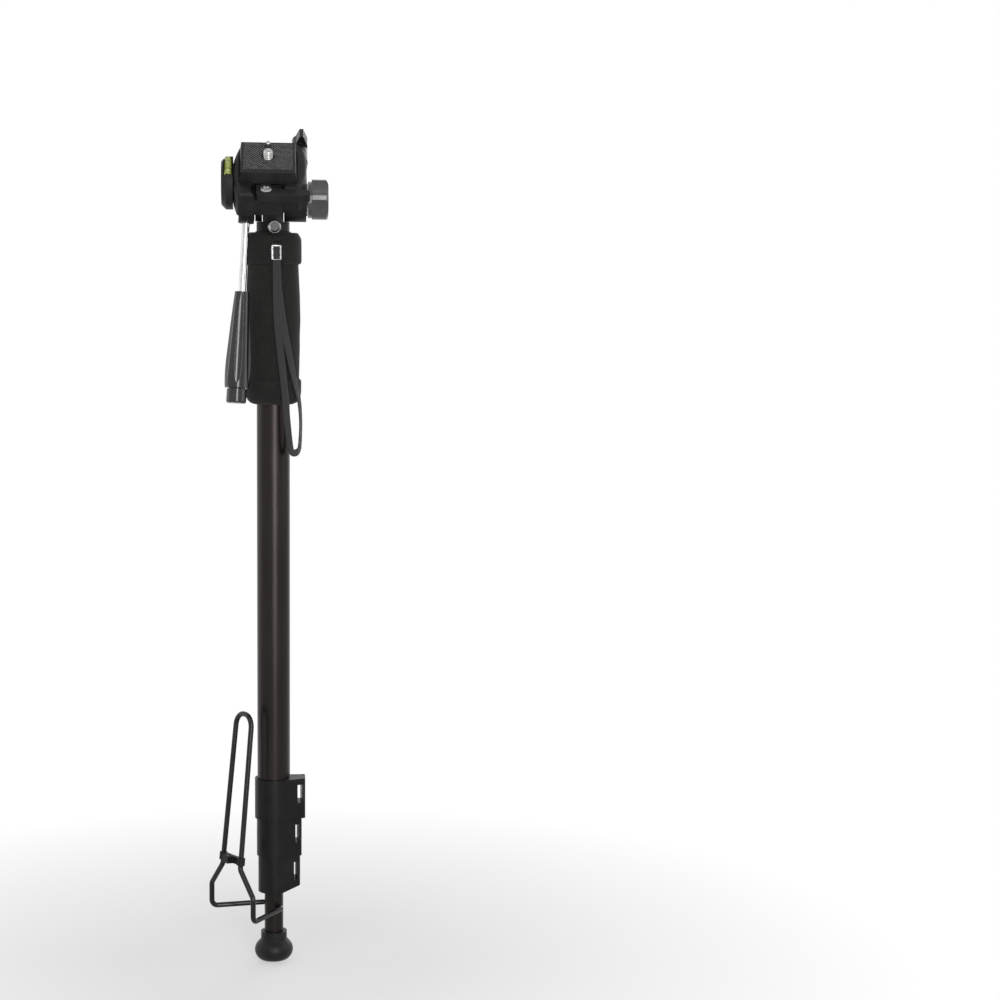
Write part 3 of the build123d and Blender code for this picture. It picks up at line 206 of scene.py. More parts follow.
def noise(tree, place, size, detail=2.0, rough=0.5):
    """Noise whose features are about size metres across."""
    made = add(tree, "ShaderNodeTexNoise", {"Vector": place, "Scale": 1 / size, "Detail": detail,
                                            "Roughness": rough})
    return made.outputs["Fac"]


def ramp(tree, value, stops):
    """A colour ramp from pairs of a place and a colour."""
    made = add(tree, "ShaderNodeValToRGB", {"Fac": value})
    band = made.color_ramp
    while len(band.elements) < len(stops):
        band.elements.new(0.5)
    for element, (at, colour) in zip(band.elements, stops):
        element.position = at
        element.color = (*colour, 1.0)
    return made.outputs["Color"]


def remap(tree, value, low, high, start=0.0, end=1.0):
    """The value, with start to end stretched over low to high."""
    made = add(tree, "ShaderNodeMapRange", {"Value": value, "From Min": start, "From Max": end,
                                            "To Min": low, "To Max": high})
    return made.outputs["Result"]


def math(tree, kind, first, second=0.0):
    """One sum of two sockets or numbers."""
    made = add(tree, "ShaderNodeMath", {0: first, 1: second}, operation=kind)
    return made.outputs[0]


def mix(tree, share, first, second):
    """A mix of two colours."""
    made = add(tree, "ShaderNodeMix", data_type="RGBA")
    for socket, value in ((made.inputs[0], share), (made.inputs[6], first), (made.inputs[7], second)):
        if isinstance(value, bpy.types.NodeSocket):
            tree.links.new(value, socket)
        else:
            socket.default_value = value if isinstance(value, float) else (*value, 1.0)
    return made.outputs[2]


def bump(tree, height, depth, normal=None, strength=1.0):
    """The normal of a skin that rises by depth metres where height is 1."""
    inputs = {"Height": height, "Distance": depth, "Strength": strength}
    if normal is not None:
        inputs["Normal"] = normal
    return add(tree, "ShaderNodeBump", inputs).outputs["Normal"]


def soft_edge(tree, radius):
    """The rounded-edge normal, and a mask that is bright on outer edges."""
    soft = add(tree, "ShaderNodeBevel", {"Radius": radius}, samples=6).outputs["Normal"]
    plain = add(tree, "ShaderNodeNewGeometry").outputs["Normal"]
    dot = add(tree, "ShaderNodeVectorMath", {0: soft, 1: plain}, operation="DOT_PRODUCT")
    return soft, remap(tree, dot.outputs["Value"], 1.0, 0.0, 0.80, 0.995)


def set_inputs(shader, **values):
    """Plain values on the shader's own sockets, by name with underscores for spaces."""
    for key, value in values.items():
        socket = shader.inputs[key.replace("_", " ")]
        socket.default_value = (*value, 1.0) if isinstance(value, tuple) and len(value) == 3 else value


# Materials

def moulded_plastic(name, dark, light, rough, grain, depth, edge=0.4 * MM, edge_wear_and_highlight=0.35, shine=0.16):
    """Injection-moulded plastic: spark-eroded grain, uneven gloss and outer edges painted paler, partly as
    wear and partly as a painted highlight.
    """
    made, tree, shader = new_material(name)
    place = object_place(tree)
    fine = noise(tree, place, size=grain, detail=3.0, rough=0.6)
    cloud = noise(tree, place, size=12 * MM, detail=3.0, rough=0.55)
    body = ramp(tree, cloud, [(0.35, dark), (0.7, light)])
    normal, mask = soft_edge(tree, edge)
    # Outer edges painted paler: partly wear, partly a painted highlight along the edges
    worn_and_highlit_edge = tuple(min(1.0, c * EDGE_WEAR_HIGHLIGHT_GAIN + EDGE_WEAR_HIGHLIGHT_LIFT) for c in light)
    share = math(tree, "MULTIPLY", mask, remap(tree, noise(tree, place, size=4 * MM), 0.0, edge_wear_and_highlight, 0.3, 0.75))
    tree.links.new(mix(tree, share, body, worn_and_highlit_edge), shader.inputs["Base Color"])
    tree.links.new(remap(tree, cloud, rough - 0.06, rough + 0.08, 0.3, 0.7), shader.inputs["Roughness"])
    tree.links.new(bump(tree, fine, depth, normal), shader.inputs["Normal"])
    set_inputs(shader, Specular_IOR_Level=shine)
    return made


def glossy_plastic(name, dark, light, rough, shine=0.35):
    """Smooth glossy plastic with a clear skin, faint sink marks, fine handling scratches and a painted
    highlight along its edges.
    """
    made, tree, shader = new_material(name)
    place = object_place(tree)
    wave = noise(tree, place, size=9 * MM, detail=1.0)
    scratch = noise(tree, object_place(tree, (1, 1, 0.06)), size=0.35 * MM, detail=2.0, rough=0.7)
    body = ramp(tree, wave, [(0.35, dark), (0.7, light)])
    normal, mask = soft_edge(tree, 0.5 * MM)
    # Outer edges mixed a little towards pale grey: a painted highlight along the edges
    tree.links.new(mix(tree, math(tree, "MULTIPLY", mask, 0.2), body, (0.10, 0.10, 0.11)),
                   shader.inputs["Base Color"])
    tree.links.new(remap(tree, scratch, rough, rough + 0.12, 0.5, 0.8), shader.inputs["Roughness"])
    tree.links.new(bump(tree, wave, 0.02 * MM, normal), shader.inputs["Normal"])
    set_inputs(shader, Specular_IOR_Level=shine, Coat_Weight=shine, Coat_Roughness=0.08)
    return made


def anodised_metal(name, dark, light, rough):
    """Drawn and anodised tube: fine lines along its length and a satin skin."""
    made, tree, shader = new_material(name)
    lines = noise(tree, object_place(tree, (1, 1, 0.012)), size=0.45 * MM, detail=3.0, rough=0.65)
    cloud = noise(tree, object_place(tree, (1, 1, 0.3)), size=20 * MM, detail=2.0)
    shade = math(tree, "ADD", math(tree, "MULTIPLY", lines, 0.4), math(tree, "MULTIPLY", cloud, 0.6))
    body = ramp(tree, shade, [(0.35, dark), (0.68, light)])
    tree.links.new(body, shader.inputs["Base Color"])
    tree.links.new(remap(tree, lines, rough - 0.04, rough + 0.08, 0.3, 0.7), shader.inputs["Roughness"])
    tree.links.new(bump(tree, lines, 0.008 * MM), shader.inputs["Normal"])
    set_inputs(shader, Metallic=0.9, Specular_IOR_Level=0.25)
    return made


def bare_metal(name, dark, light, rough, stretch=(1, 1, 1), size=0.5 * MM, depth=0.01 * MM):
    """Turned, drawn or cast metal with tool marks in one direction and slight tarnish."""
    made, tree, shader = new_material(name)
    marks = noise(tree, object_place(tree, stretch), size=size, detail=3.0, rough=0.6)
    cloud = noise(tree, object_place(tree), size=4 * MM, detail=3.0)
    tree.links.new(ramp(tree, cloud, [(0.32, dark), (0.68, light)]), shader.inputs["Base Color"])
    tree.links.new(remap(tree, marks, rough - 0.05, rough + 0.1, 0.3, 0.7), shader.inputs["Roughness"])
    normal = soft_edge(tree, 0.15 * MM)[0]
    tree.links.new(bump(tree, marks, depth, normal), shader.inputs["Normal"])
    set_inputs(shader, Metallic=1.0)
    return made


def foam_material():
    """Fine closed-cell foam: tiny pits, pale specks and a dusty sheen."""
    made, tree, shader = new_material("foam_charcoal")
    place = object_place(tree)
    cells = add(tree, "ShaderNodeTexVoronoi", {"Vector": place, "Scale": 1 / FOAM_CELL})
    fine = noise(tree, place, size=0.35 * MM, detail=4.0, rough=0.7)
    cloud = noise(tree, place, size=11 * MM, detail=4.0, rough=0.6)
    specks = ramp(tree, fine, [(0.38, (0.006, 0.006, 0.006)), (0.55, (0.015, 0.0145, 0.014)),
                               (0.68, (0.050, 0.049, 0.047))])
    shade = ramp(tree, cloud, [(0.3, (0.7, 0.7, 0.7)), (0.7, (1.15, 1.13, 1.1))])
    colour = add(tree, "ShaderNodeMix", data_type="RGBA", blend_type="MULTIPLY")
    colour.inputs[0].default_value = 1.0
    tree.links.new(specks, colour.inputs[6])
    tree.links.new(shade, colour.inputs[7])
    tree.links.new(colour.outputs[2], shader.inputs["Base Color"])
    height = math(tree, "ADD", math(tree, "MULTIPLY", cells.outputs["Distance"], 0.8), fine)
    tree.links.new(bump(tree, height, 0.16 * MM, strength=0.9), shader.inputs["Normal"])
    tree.links.new(remap(tree, cloud, 0.86, 0.98), shader.inputs["Roughness"])
    set_inputs(shader, Specular_IOR_Level=0.2, Sheen_Weight=0.12, Sheen_Roughness=0.5,
               Sheen_Tint=(0.55, 0.54, 0.52))
    return made


def webbing_material():
    """Flat woven webbing: picks across, warp along, read from the strap's own UV map."""
    made, tree, shader = new_material("strap_webbing")
    place = add(tree, "ShaderNodeUVMap", uv_map="weave").outputs["UV"]
    across = add(tree, "ShaderNodeTexWave", {"Vector": place, "Scale": 0.5, "Distortion": 0.4,
                                             "Detail": 1.0}, bands_direction="Y").outputs["Fac"]
    along = add(tree, "ShaderNodeTexWave", {"Vector": place, "Scale": 0.8, "Distortion": 0.2},
                bands_direction="X").outputs["Fac"]
    weave = math(tree, "MULTIPLY", across, along)
    fuzz = noise(tree, object_place(tree), size=0.3 * MM, detail=3.0, rough=0.7)
    shade = math(tree, "ADD", math(tree, "MULTIPLY", weave, 0.7), math(tree, "MULTIPLY", fuzz, 0.3))
    tree.links.new(ramp(tree, shade, [(0.15, (0.005, 0.005, 0.005)), (0.8, (0.024, 0.023, 0.023))]),
                   shader.inputs["Base Color"])
    tree.links.new(remap(tree, fuzz, 0.62, 0.85), shader.inputs["Roughness"])
    tree.links.new(bump(tree, shade, 0.18 * MM), shader.inputs["Normal"])
    set_inputs(shader, Sheen_Weight=0.2, Sheen_Roughness=0.4)
    return made


def rubber_material(name, dark, light, rough):
    """Matte rubber with a dusty, lightly scuffed skin."""
    made, tree, shader = new_material(name)
    place = object_place(tree)
    fine = noise(tree, place, size=0.25 * MM, detail=3.0, rough=0.65)
    dust = noise(tree, place, size=6 * MM, detail=5.0, rough=0.7)
    tree.links.new(ramp(tree, dust, [(0.42, dark), (0.72, light)]), shader.inputs["Base Color"])
    tree.links.new(remap(tree, dust, rough - 0.08, rough + 0.06), shader.inputs["Roughness"])
    normal = soft_edge(tree, 0.4 * MM)[0]
    tree.links.new(bump(tree, fine, 0.05 * MM, normal), shader.inputs["Normal"])
    set_inputs(shader, Specular_IOR_Level=0.2)
    return made


def pad_material():
    """Knurled rubber whose ridges are worn paler and whose pits are darkened with painted shade."""
    made, tree, shader = new_material("pad_knurl")
    rise = add(tree, "ShaderNodeAttribute", attribute_name="rise").outputs["Fac"]
    place = object_place(tree)
    dust = noise(tree, place, size=3 * MM, detail=4.0, rough=0.6)
    crumbs = noise(tree, place, size=0.2 * MM, detail=2.0)
    # Painted shade keeps the pits dark; the paler ridges are wear
    ridge_wear_and_pit_shade = math(tree, "MULTIPLY", rise, remap(tree, dust, 0.65, 1.2, 0.3, 0.7))
    tree.links.new(ramp(tree, ridge_wear_and_pit_shade, [(0.2, (0.004, 0.004, 0.004)), (0.6, (0.035, 0.035, 0.034)),
                                     (1.0, (0.11, 0.11, 0.108))]), shader.inputs["Base Color"])
    tree.links.new(remap(tree, rise, 0.9, 0.55), shader.inputs["Roughness"])
    set_inputs(shader, Specular_IOR_Level=0.3)
    tree.links.new(bump(tree, crumbs, 0.03 * MM), shader.inputs["Normal"])
    return made


def label_material():
    """Bare silver foil with a soft brushed grain and small creases."""
    made, tree, shader = new_material("label_foil")
    grain = noise(tree, object_place(tree, (1, 1, 0.05)), size=0.3 * MM, detail=3.0, rough=0.6)
    crease = noise(tree, object_place(tree), size=6 * MM, detail=3.0, rough=0.5)
    tree.links.new(ramp(tree, crease, [(0.35, (0.42, 0.42, 0.42)), (0.7, (0.62, 0.62, 0.61))]),
                   shader.inputs["Base Color"])
    tree.links.new(remap(tree, grain, 0.3, 0.45), shader.inputs["Roughness"])
    height = math(tree, "ADD", math(tree, "MULTIPLY", grain, 0.3), crease)
    tree.links.new(bump(tree, height, 0.04 * MM), shader.inputs["Normal"])
    set_inputs(shader, Metallic=0.85)
    return made


def knob_ring_material():
    """The small lock knob: a dark sunken middle inside a rounded bare metal rim."""
    made, tree, shader = new_material("knob_ring")
    place = add(tree, "ShaderNodeTexCoord").outputs["Object"]
    flat = add(tree, "ShaderNodeMapping", {"Vector": place, "Location": (-LOCK_KNOB_X, 0, -LOCK_KNOB_Z),
                                           "Scale": (1, 0, 1)})
    reach = add(tree, "ShaderNodeVectorMath", {0: flat.outputs["Vector"]}, operation="LENGTH")
    reach = reach.outputs["Value"]
    rim = remap(tree, reach, 0.0, 1.0, LOCK_KNOB_MIDDLE, LOCK_KNOB_MIDDLE + LOCK_KNOB_STEP)
    away = math(tree, "ABSOLUTE", math(tree, "SUBTRACT", reach, LOCK_KNOB_RIM))
    round_rim = remap(tree, away, 1.0, 0.0, 0.0, LOCK_KNOB_RIM - LOCK_KNOB_MIDDLE)
    grain = noise(tree, place, size=0.4 * MM, detail=3.0)
    metal = ramp(tree, grain, [(0.3, (0.20, 0.20, 0.20)), (0.7, (0.34, 0.34, 0.33))])
    tree.links.new(mix(tree, rim, SOFT_BLACK, metal), shader.inputs["Base Color"])
    tree.links.new(rim, shader.inputs["Metallic"])
    normal = soft_edge(tree, 0.3 * MM)[0]
    tree.links.new(bump(tree, round_rim, 0.9 * MM, normal), shader.inputs["Normal"])
    set_inputs(shader, Roughness=0.24)
    return made


def liquid_material():
    """The vial's yellow-green spirit behind clear acrylic, paler where the light passes."""
    made, tree, shader = new_material("vial_liquid")
    cloud = noise(tree, object_place(tree), size=4 * MM, detail=2.0)
    tree.links.new(ramp(tree, cloud, [(0.3, (0.31, 0.38, 0.035)), (0.7, (0.44, 0.48, 0.070))]),
                   shader.inputs["Base Color"])
    set_inputs(shader, Roughness=0.18, Transmission_Weight=0.15, Coat_Weight=0.8, Coat_Roughness=0.05,
               IOR=1.4)
    return made


def bubble_material():
    """The pale air bubble of the vial."""
    made, tree, shader = new_material("vial_bubble")
    cloud = noise(tree, object_place(tree), size=1 * MM, detail=2.0)
    tree.links.new(ramp(tree, cloud, [(0.3, (0.70, 0.82, 0.30)), (0.7, (0.85, 0.93, 0.55))]),
                   shader.inputs["Base Color"])
    set_inputs(shader, Roughness=0.1, Coat_Weight=1.0, Coat_Roughness=0.03)
    return made


def ink_material():
    """The black ink of the vial's marks."""
    made, tree, shader = new_material("vial_marks")
    cloud = noise(tree, object_place(tree), size=0.6 * MM, detail=2.0)
    tree.links.new(ramp(tree, cloud, [(0.3, (0.004, 0.004, 0.004)), (0.7, (0.012, 0.012, 0.012))]),
                   shader.inputs["Base Color"])
    set_inputs(shader, Roughness=0.4)
    return made


materials = {
    "moulded": moulded_plastic("plastic_moulded", (0.0085, 0.008, 0.0078), (0.018, 0.0175, 0.017),
                               rough=0.46, grain=0.26 * MM, depth=0.05 * MM),
    "collar": moulded_plastic("plastic_collar", BLACK, SOFT_BLACK,
                              rough=0.36, grain=0.3 * MM, depth=0.006 * MM),
    "lever": moulded_plastic("plastic_lever", BLACK, SOFT_BLACK,
                             rough=0.28, grain=0.3 * MM, depth=0.008 * MM, shine=0.22),
    "liner": moulded_plastic("plastic_liner", (0.42, 0.42, 0.40), (0.55, 0.55, 0.52),
                             rough=0.45, grain=0.4 * MM, depth=0.01 * MM),
    "wire": moulded_plastic("wire_coating", (0.004, 0.004, 0.004), (0.008, 0.008, 0.008), rough=0.16,
                            grain=1.2 * MM, depth=0.01 * MM, edge=0.3 * MM, edge_wear_and_highlight=0.1, shine=0.3),
    "glossy": glossy_plastic("plastic_glossy", (0.0070, 0.0068, 0.0085), (0.012, 0.0118, 0.0145),
                             rough=0.17),
    "knob": glossy_plastic("plastic_knob", (0.014, 0.0138, 0.0165), (0.022, 0.0215, 0.026),
                           rough=0.22, shine=0.55),
    "anodised": anodised_metal("tube_anodised", (0.021, 0.0172, 0.0168), (0.030, 0.025, 0.0245),
                               rough=0.30),
    "steel": bare_metal("steel_plain", (0.34, 0.34, 0.34), (0.52, 0.52, 0.51), rough=0.30),
    "dark_steel": bare_metal("steel_blackened", (0.035, 0.035, 0.034), (0.075, 0.074, 0.072), rough=0.34),
    "chrome": bare_metal("steel_chrome", (0.52, 0.53, 0.54), (0.66, 0.66, 0.67), rough=0.10,
                         stretch=(1, 1, 0.04), size=0.8 * MM, depth=0.002 * MM),
    "brass": bare_metal("brass_plain", (0.48, 0.33, 0.13), (0.62, 0.45, 0.2), rough=0.3),
    "rubber": rubber_material("rubber_boot", (0.006, 0.006, 0.006), (0.016, 0.0155, 0.015), rough=0.42),
    "pad": pad_material(),
    "foam": foam_material(),
    "webbing": webbing_material(),
    "label": label_material(),
    "liquid": liquid_material(),
    "bubble": bubble_material(),
    "ink": ink_material(),
    "knob_ring": knob_ring_material(),
}
slot_looks = {
    "anodised": "anodised", "tube_inner": "anodised", "foam": "foam", "webbing": "webbing",
    "label": "label", "collar": "collar", "lever": "lever", "steel": "steel", "chrome": "chrome",
    "rubber": "rubber", "black_wire": "wire", "moulded": "moulded", "glossy": "glossy",
    "white_plastic": "liner", "pad": "pad", "vial": "liquid", "brass": "brass",
}
node_looks = {"serrated_washer": "dark_steel", "tilt_knob": "knob", "pan_lock_knob": "knob_ring"}


def paint_nodes():
    """Gives every CAD node the look of its material slot."""
    slots = {part["node"]: part["material_slot"] for part in frame["record"]["subparts"]}
    for name, thing in frame["nodes"].items():
        look = materials[node_looks.get(name, slot_looks[slots[name]])]
        thing.data.materials.clear()
        thing.data.materials.append(look)


# Mesh helpers

def mesh_object(name, points, faces, look, smooth=True):
    """A mesh object from points and faces, with its look."""
    mesh = bpy.data.meshes.new(name)
    mesh.from_pydata([tuple(p) for p in points], [], faces)
    mesh.update()
    mesh.materials.append(materials[look])
    if smooth:
        mesh.polygons.foreach_set("use_smooth", [True] * len(mesh.polygons))
    thing = bpy.data.objects.new(name, mesh)
    bpy.context.scene.collection.objects.link(thing)
    return thing


def sweep_rings(rings, close_ends=True):
    """Points and faces of a skin over equal rings of points."""
    count = len(rings[0])
    points = [p for ring in rings for p in ring]
    faces = []
    for row in range(len(rings) - 1):
        for k in range(count):
            after = (k + 1) % count
            low, high = row * count, (row + 1) * count
            faces.append((low + k, low + after, high + after, high + k))
    if close_ends:
        faces.append(tuple(reversed(range(count))))
        faces.append(tuple(range((len(rings) - 1) * count, len(rings) * count)))
    return points, faces


def turned_rings(profile, segments, shape=None):
    """Rings of a turned form; shape may change the radius from the angle and the height."""
    rings = []
    for radius, height in profile:
        ring = []
        for k in range(segments):
            turn = 2 * pi * k / segments
            r = radius if shape is None else shape(radius, turn, height)
            ring.append(Vector((r * cos(turn), r * sin(turn), height)))
        rings.append(ring)
    return rings


def finish_piece(thing, node, sharp=None):
    """Seats a piece on its body and lets it stand for its CAD node."""
    if sharp is not None:
        thing.data.set_sharp_from_angle(angle=radians(sharp))
    for body, members in frame["record"]["behaviour"]["bodies"].items():
        if node in members:
            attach(thing, body)
    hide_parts(node)
    return thing


# Quick release plate

def knurled_pad():
    """The rubber pad with two crossing sets of fine ridges and its two holes."""
    columns, rows = round(PAD_X / PAD_STEP), round(PAD_Y / PAD_STEP)
    holes = [(0.0, 0.0, PAD_SCREW_HOLE), (0.0, PIN_Y, PAD_PIN_HOLE)]
    points, rises, index = [], [], {}
    for i in range(columns + 1):
        for j in range(rows + 1):
            x = -PAD_X / 2 + PAD_X * i / columns
            y = PAD_SHIFT_Y - PAD_Y / 2 + PAD_Y * j / rows
            edge = min(i, columns - i, j, rows - j) * PAD_STEP
            near = 1.0
            for hx, hy, radius in holes:
                gap = sqrt((x - hx) ** 2 + (y - hy) ** 2)
                if abs(gap - radius) < PAD_STEP * 0.75 and gap > 0:
                    x, y = hx + (x - hx) * radius / gap, hy + (y - hy) * radius / gap
                near = min(near, max(0.0, (gap - radius) / (PAD_STEP * 2)))
            first = abs((x + y) / PAD_PITCH % 1.0 - 0.5) * 2
            second = abs((x - y) / PAD_PITCH % 1.0 - 0.5) * 2
            rise = (max(first, second) - PAD_VALLEY) / (PAD_CREST - PAD_VALLEY)
            rise = min(1.0, max(0.0, rise))
            pit = (1 - rise) * min(1.0, edge / (PAD_STEP * 3)) * near
            index[i, j] = len(points)
            rises.append(1 - pit)
            points.append(HEAD @ Vector((PLATE_X + x, y, PAD_HIGH - PAD_GROOVE * pit)))
    faces = []
    for i in range(columns):
        for j in range(rows):
            x = -PAD_X / 2 + PAD_X * (i + 0.5) / columns
            y = PAD_SHIFT_Y - PAD_Y / 2 + PAD_Y * (j + 0.5) / rows
            if all(sqrt((x - hx) ** 2 + (y - hy) ** 2) > radius for hx, hy, radius in holes):
                faces.append((index[i, j], index[i + 1, j], index[i + 1, j + 1], index[i, j + 1]))
    pad = mesh_object("pad_knurled", points, faces, "pad", smooth=False)
    grow = bmesh.new()
    grow.from_mesh(pad.data)
    layer = grow.verts.layers.float.new("rise")
    for vertex, rise in zip(grow.verts, rises):
        vertex[layer] = rise
    bmesh.ops.delete(grow, geom=[v for v in grow.verts if not v.link_faces], context="VERTS")
    border = [e for e in grow.edges if e.is_boundary]
    made = bmesh.ops.extrude_edge_only(grow, edges=border)["geom"]
    floor = HEAD @ Vector((0, 0, PAD_LOW))
    up = (HEAD.to_3x3() @ Vector((0, 0, 1))).normalized()
    for vertex in (g for g in made if isinstance(g, bmesh.types.BMVert)):
        vertex.co -= up * (vertex.co - floor).dot(up)
    grow.normal_update()
    grow.to_mesh(pad.data)
    grow.free()
    return finish_piece(pad, "plate_pad")


def threaded_screw():
    """The camera screw with a real helical thread, a bevelled end and a dimple."""
    profile = [(SCREW_HEAD_MIDDLE, SCREW_HEAD_LOW),
               (SCREW_HEAD_RADIUS - SCREW_HEAD_EDGE, SCREW_HEAD_LOW),
               (SCREW_HEAD_RADIUS, SCREW_HEAD_LOW + SCREW_HEAD_EDGE), (SCREW_HEAD_RADIUS, SCREW_HEAD_HIGH),
               (SCREW_SHANK_RADIUS, SCREW_HEAD_HIGH), (SCREW_SHANK_RADIUS, SCREW_LOW)]
    rows = round((SCREW_TOP - SCREW_LOW) / THREAD_PITCH * THREAD_ROWS)
    rings = turned_rings(profile, SCREW_SEGMENTS)
    for row in range(rows + 1):
        height = SCREW_LOW + (SCREW_TOP - SCREW_LOW) * row / rows
        limit = SCREW_RADIUS
        if height > SCREW_HIGH - SCREW_BEVEL:
            limit = SCREW_RADIUS - (height - SCREW_HIGH + SCREW_BEVEL) * SCREW_BEVEL_SLOPE
        fade = min(1.0, max(0.0, (height - SCREW_LOW) / (THREAD_PITCH / 2)))
        ring = []
        for k in range(SCREW_SEGMENTS):
            turn = 2 * pi * k / SCREW_SEGMENTS
            phase = ((height / THREAD_PITCH) - turn / (2 * pi)) % 1.0
            tooth = min(1.0, max(0.0, THREAD_CREST - abs(phase - 0.5) * THREAD_FLANK))
            r = min(limit, SCREW_RADIUS - THREAD_DEPTH * (1 - tooth) * fade)
            r = min(r, SCREW_SHANK_RADIUS + (SCREW_RADIUS - SCREW_SHANK_RADIUS) * fade)
            ring.append(Vector((r * cos(turn), r * sin(turn), height)))
        rings.append(ring)
    end = SCREW_RADIUS - SCREW_END_STEP
    rings += turned_rings([(end - SCREW_DIMPLE_EDGE, SCREW_TOP),
                           (end - SCREW_DIMPLE_FLOOR, SCREW_TOP - SCREW_DIMPLE_DEPTH),
                           (SCREW_DIMPLE_MIDDLE, SCREW_TOP - SCREW_DIMPLE_BOTTOM)], SCREW_SEGMENTS)
    points, faces = sweep_rings(rings)
    place = HEAD @ Matrix.Translation((PLATE_X, 0, 0))
    screw = mesh_object("camera_screw_threaded", [place @ p for p in points], faces, "steel")
    return finish_piece(screw, "camera_screw", 35)


def cross_screw():
    """The lever's screw: a low domed head with a tapered cross recess."""
    points = [Vector((0, 0, CROSS_TOP - CROSS_DEPTH))]
    faces = []
    for ring in range(1, CROSS_RINGS + 1):
        radius = CROSS_RADIUS * ring / CROSS_RINGS
        for k in range(CROSS_SEGMENTS):
            turn = 2 * pi * k / CROSS_SEGMENTS + pi / CROSS_SEGMENTS
            x, y = radius * cos(turn), radius * sin(turn)
            near, far = min(abs(x), abs(y)), max(abs(x), abs(y))
            wall = min(CROSS_HALF - near, CROSS_ARM - far)
            dip = CROSS_DEPTH * min(1.0, max(0.0, wall / CROSS_FLANK)) * (1 - CROSS_RISE * far / CROSS_ARM)
            dome = (radius / CROSS_RADIUS) ** 4 * CROSS_DOME
            points.append(Vector((x, y, CROSS_TOP - max(dip, 0.0) - dome)))
    for k in range(CROSS_SEGMENTS):
        faces.append((0, 1 + k, 1 + (k + 1) % CROSS_SEGMENTS))
    for ring in range(CROSS_RINGS - 1):
        low, high = 1 + ring * CROSS_SEGMENTS, 1 + (ring + 1) * CROSS_SEGMENTS
        for k in range(CROSS_SEGMENTS):
            after = (k + 1) % CROSS_SEGMENTS
            faces.append((low + k, high + k, high + after, low + after))
    rim = 1 + (CROSS_RINGS - 1) * CROSS_SEGMENTS
    foot = len(points)
    for k in range(CROSS_SEGMENTS):
        turn = 2 * pi * k / CROSS_SEGMENTS + pi / CROSS_SEGMENTS
        points.append(Vector((CROSS_RADIUS * cos(turn), CROSS_RADIUS * sin(turn), CROSS_BOTTOM)))
    for k in range(CROSS_SEGMENTS):
        after = (k + 1) % CROSS_SEGMENTS
        faces.append((rim + k, foot + k, foot + after, rim + after))
    place = HEAD @ Matrix.Translation((CROSS_X, CROSS_Y, 0)) @ Matrix.Rotation(radians(CROSS_TURN), 4, "Z")
    screw = mesh_object("lever_screw_cross", [place @ p for p in points], faces, "steel")
    return finish_piece(screw, "lever_screw", 40)


# Spirit level

def vial_frame():
    """The vial's own frame: its length along Z, at its place on the head."""
    place = HEAD @ Matrix.Translation((VIAL_X, VIAL_Y, VIAL_Z))
    return place @ Matrix.Rotation(radians(-90), 4, "X")


def vial_tube():
    """The vial, with rounded ends."""
    low, high = [], []
    for step in range(VIAL_ROUND_STEPS + 1):
        turn = pi / 2 * step / VIAL_ROUND_STEPS
        inward, along = VIAL_ROUND * (1 - sin(turn)), VIAL_ROUND * (1 - cos(turn))
        low.append((VIAL_RADIUS - inward, -VIAL_HALF + along))
        high.append((VIAL_RADIUS - along, VIAL_HALF - inward))
    profile = [(VIAL_POLE, -VIAL_HALF)] + low + high + [(VIAL_POLE, VIAL_HALF)]
    points, faces = sweep_rings(turned_rings(profile, VIAL_SEGMENTS))
    place = vial_frame()
    vial = mesh_object("vial_tube", [place @ p for p in points], faces, "liquid")
    return finish_piece(vial, "level_vial")


def vial_mark(name, middle):
    """One black ring on the vial, just proud of its skin."""
    bed, skin = VIAL_RADIUS - VIAL_MARK_BED, VIAL_RADIUS + VIAL_MARK_SKIN
    low, high = middle - VIAL_MARK_WIDTH / 2, middle + VIAL_MARK_WIDTH / 2
    band = [(bed, low), (skin, low), (skin, high), (bed, high)]
    points, faces = sweep_rings(turned_rings(band, VIAL_SEGMENTS), close_ends=False)
    place = vial_frame()
    mark = mesh_object(name, [place @ p for p in points], faces, "ink", smooth=False)
    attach(mark, "top_platform")


def vial_bubble():
    """The bubble under the vial's skin."""
    rows = []
    for step in range(BUBBLE_ROWS + 1):
        turn = pi * step / BUBBLE_ROWS
        rows.append((max(BUBBLE_POLE, BUBBLE_RADIUS * sin(turn)), -BUBBLE_HALF * cos(turn)))
    points, faces = sweep_rings(turned_rings(rows, BUBBLE_SEGMENTS))
    high = VIAL_RADIUS - BUBBLE_RADIUS * BUBBLE_SINK
    seat = HEAD @ Matrix.Translation((VIAL_X, VIAL_Y, VIAL_Z))
    seat = seat @ Matrix.Translation((BUBBLE_X, BUBBLE_Y - VIAL_Y, high))
    seat = seat @ Matrix.Rotation(radians(-90), 4, "X")
    bubble = mesh_object("vial_bubble", [seat @ p for p in points], faces, "bubble")
    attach(bubble, "top_platform")


# Foam grip and wrist strap

def dense_profile(profile, step):
    """The profile in metres, with points no further apart than step."""
    made = []
    for (r0, z0), (r1, z1) in zip(profile, profile[1:]):
        length = sqrt((r1 - r0) ** 2 + (z1 - z0) ** 2) * MM
        count = max(1, round(length / step))
        for k in range(count):
            share = k / count
            made.append(((r0 + (r1 - r0) * share) * MM, (z0 + (z1 - z0) * share) * MM))
    made.append((profile[-1][0] * MM, profile[-1][1] * MM))
    return made


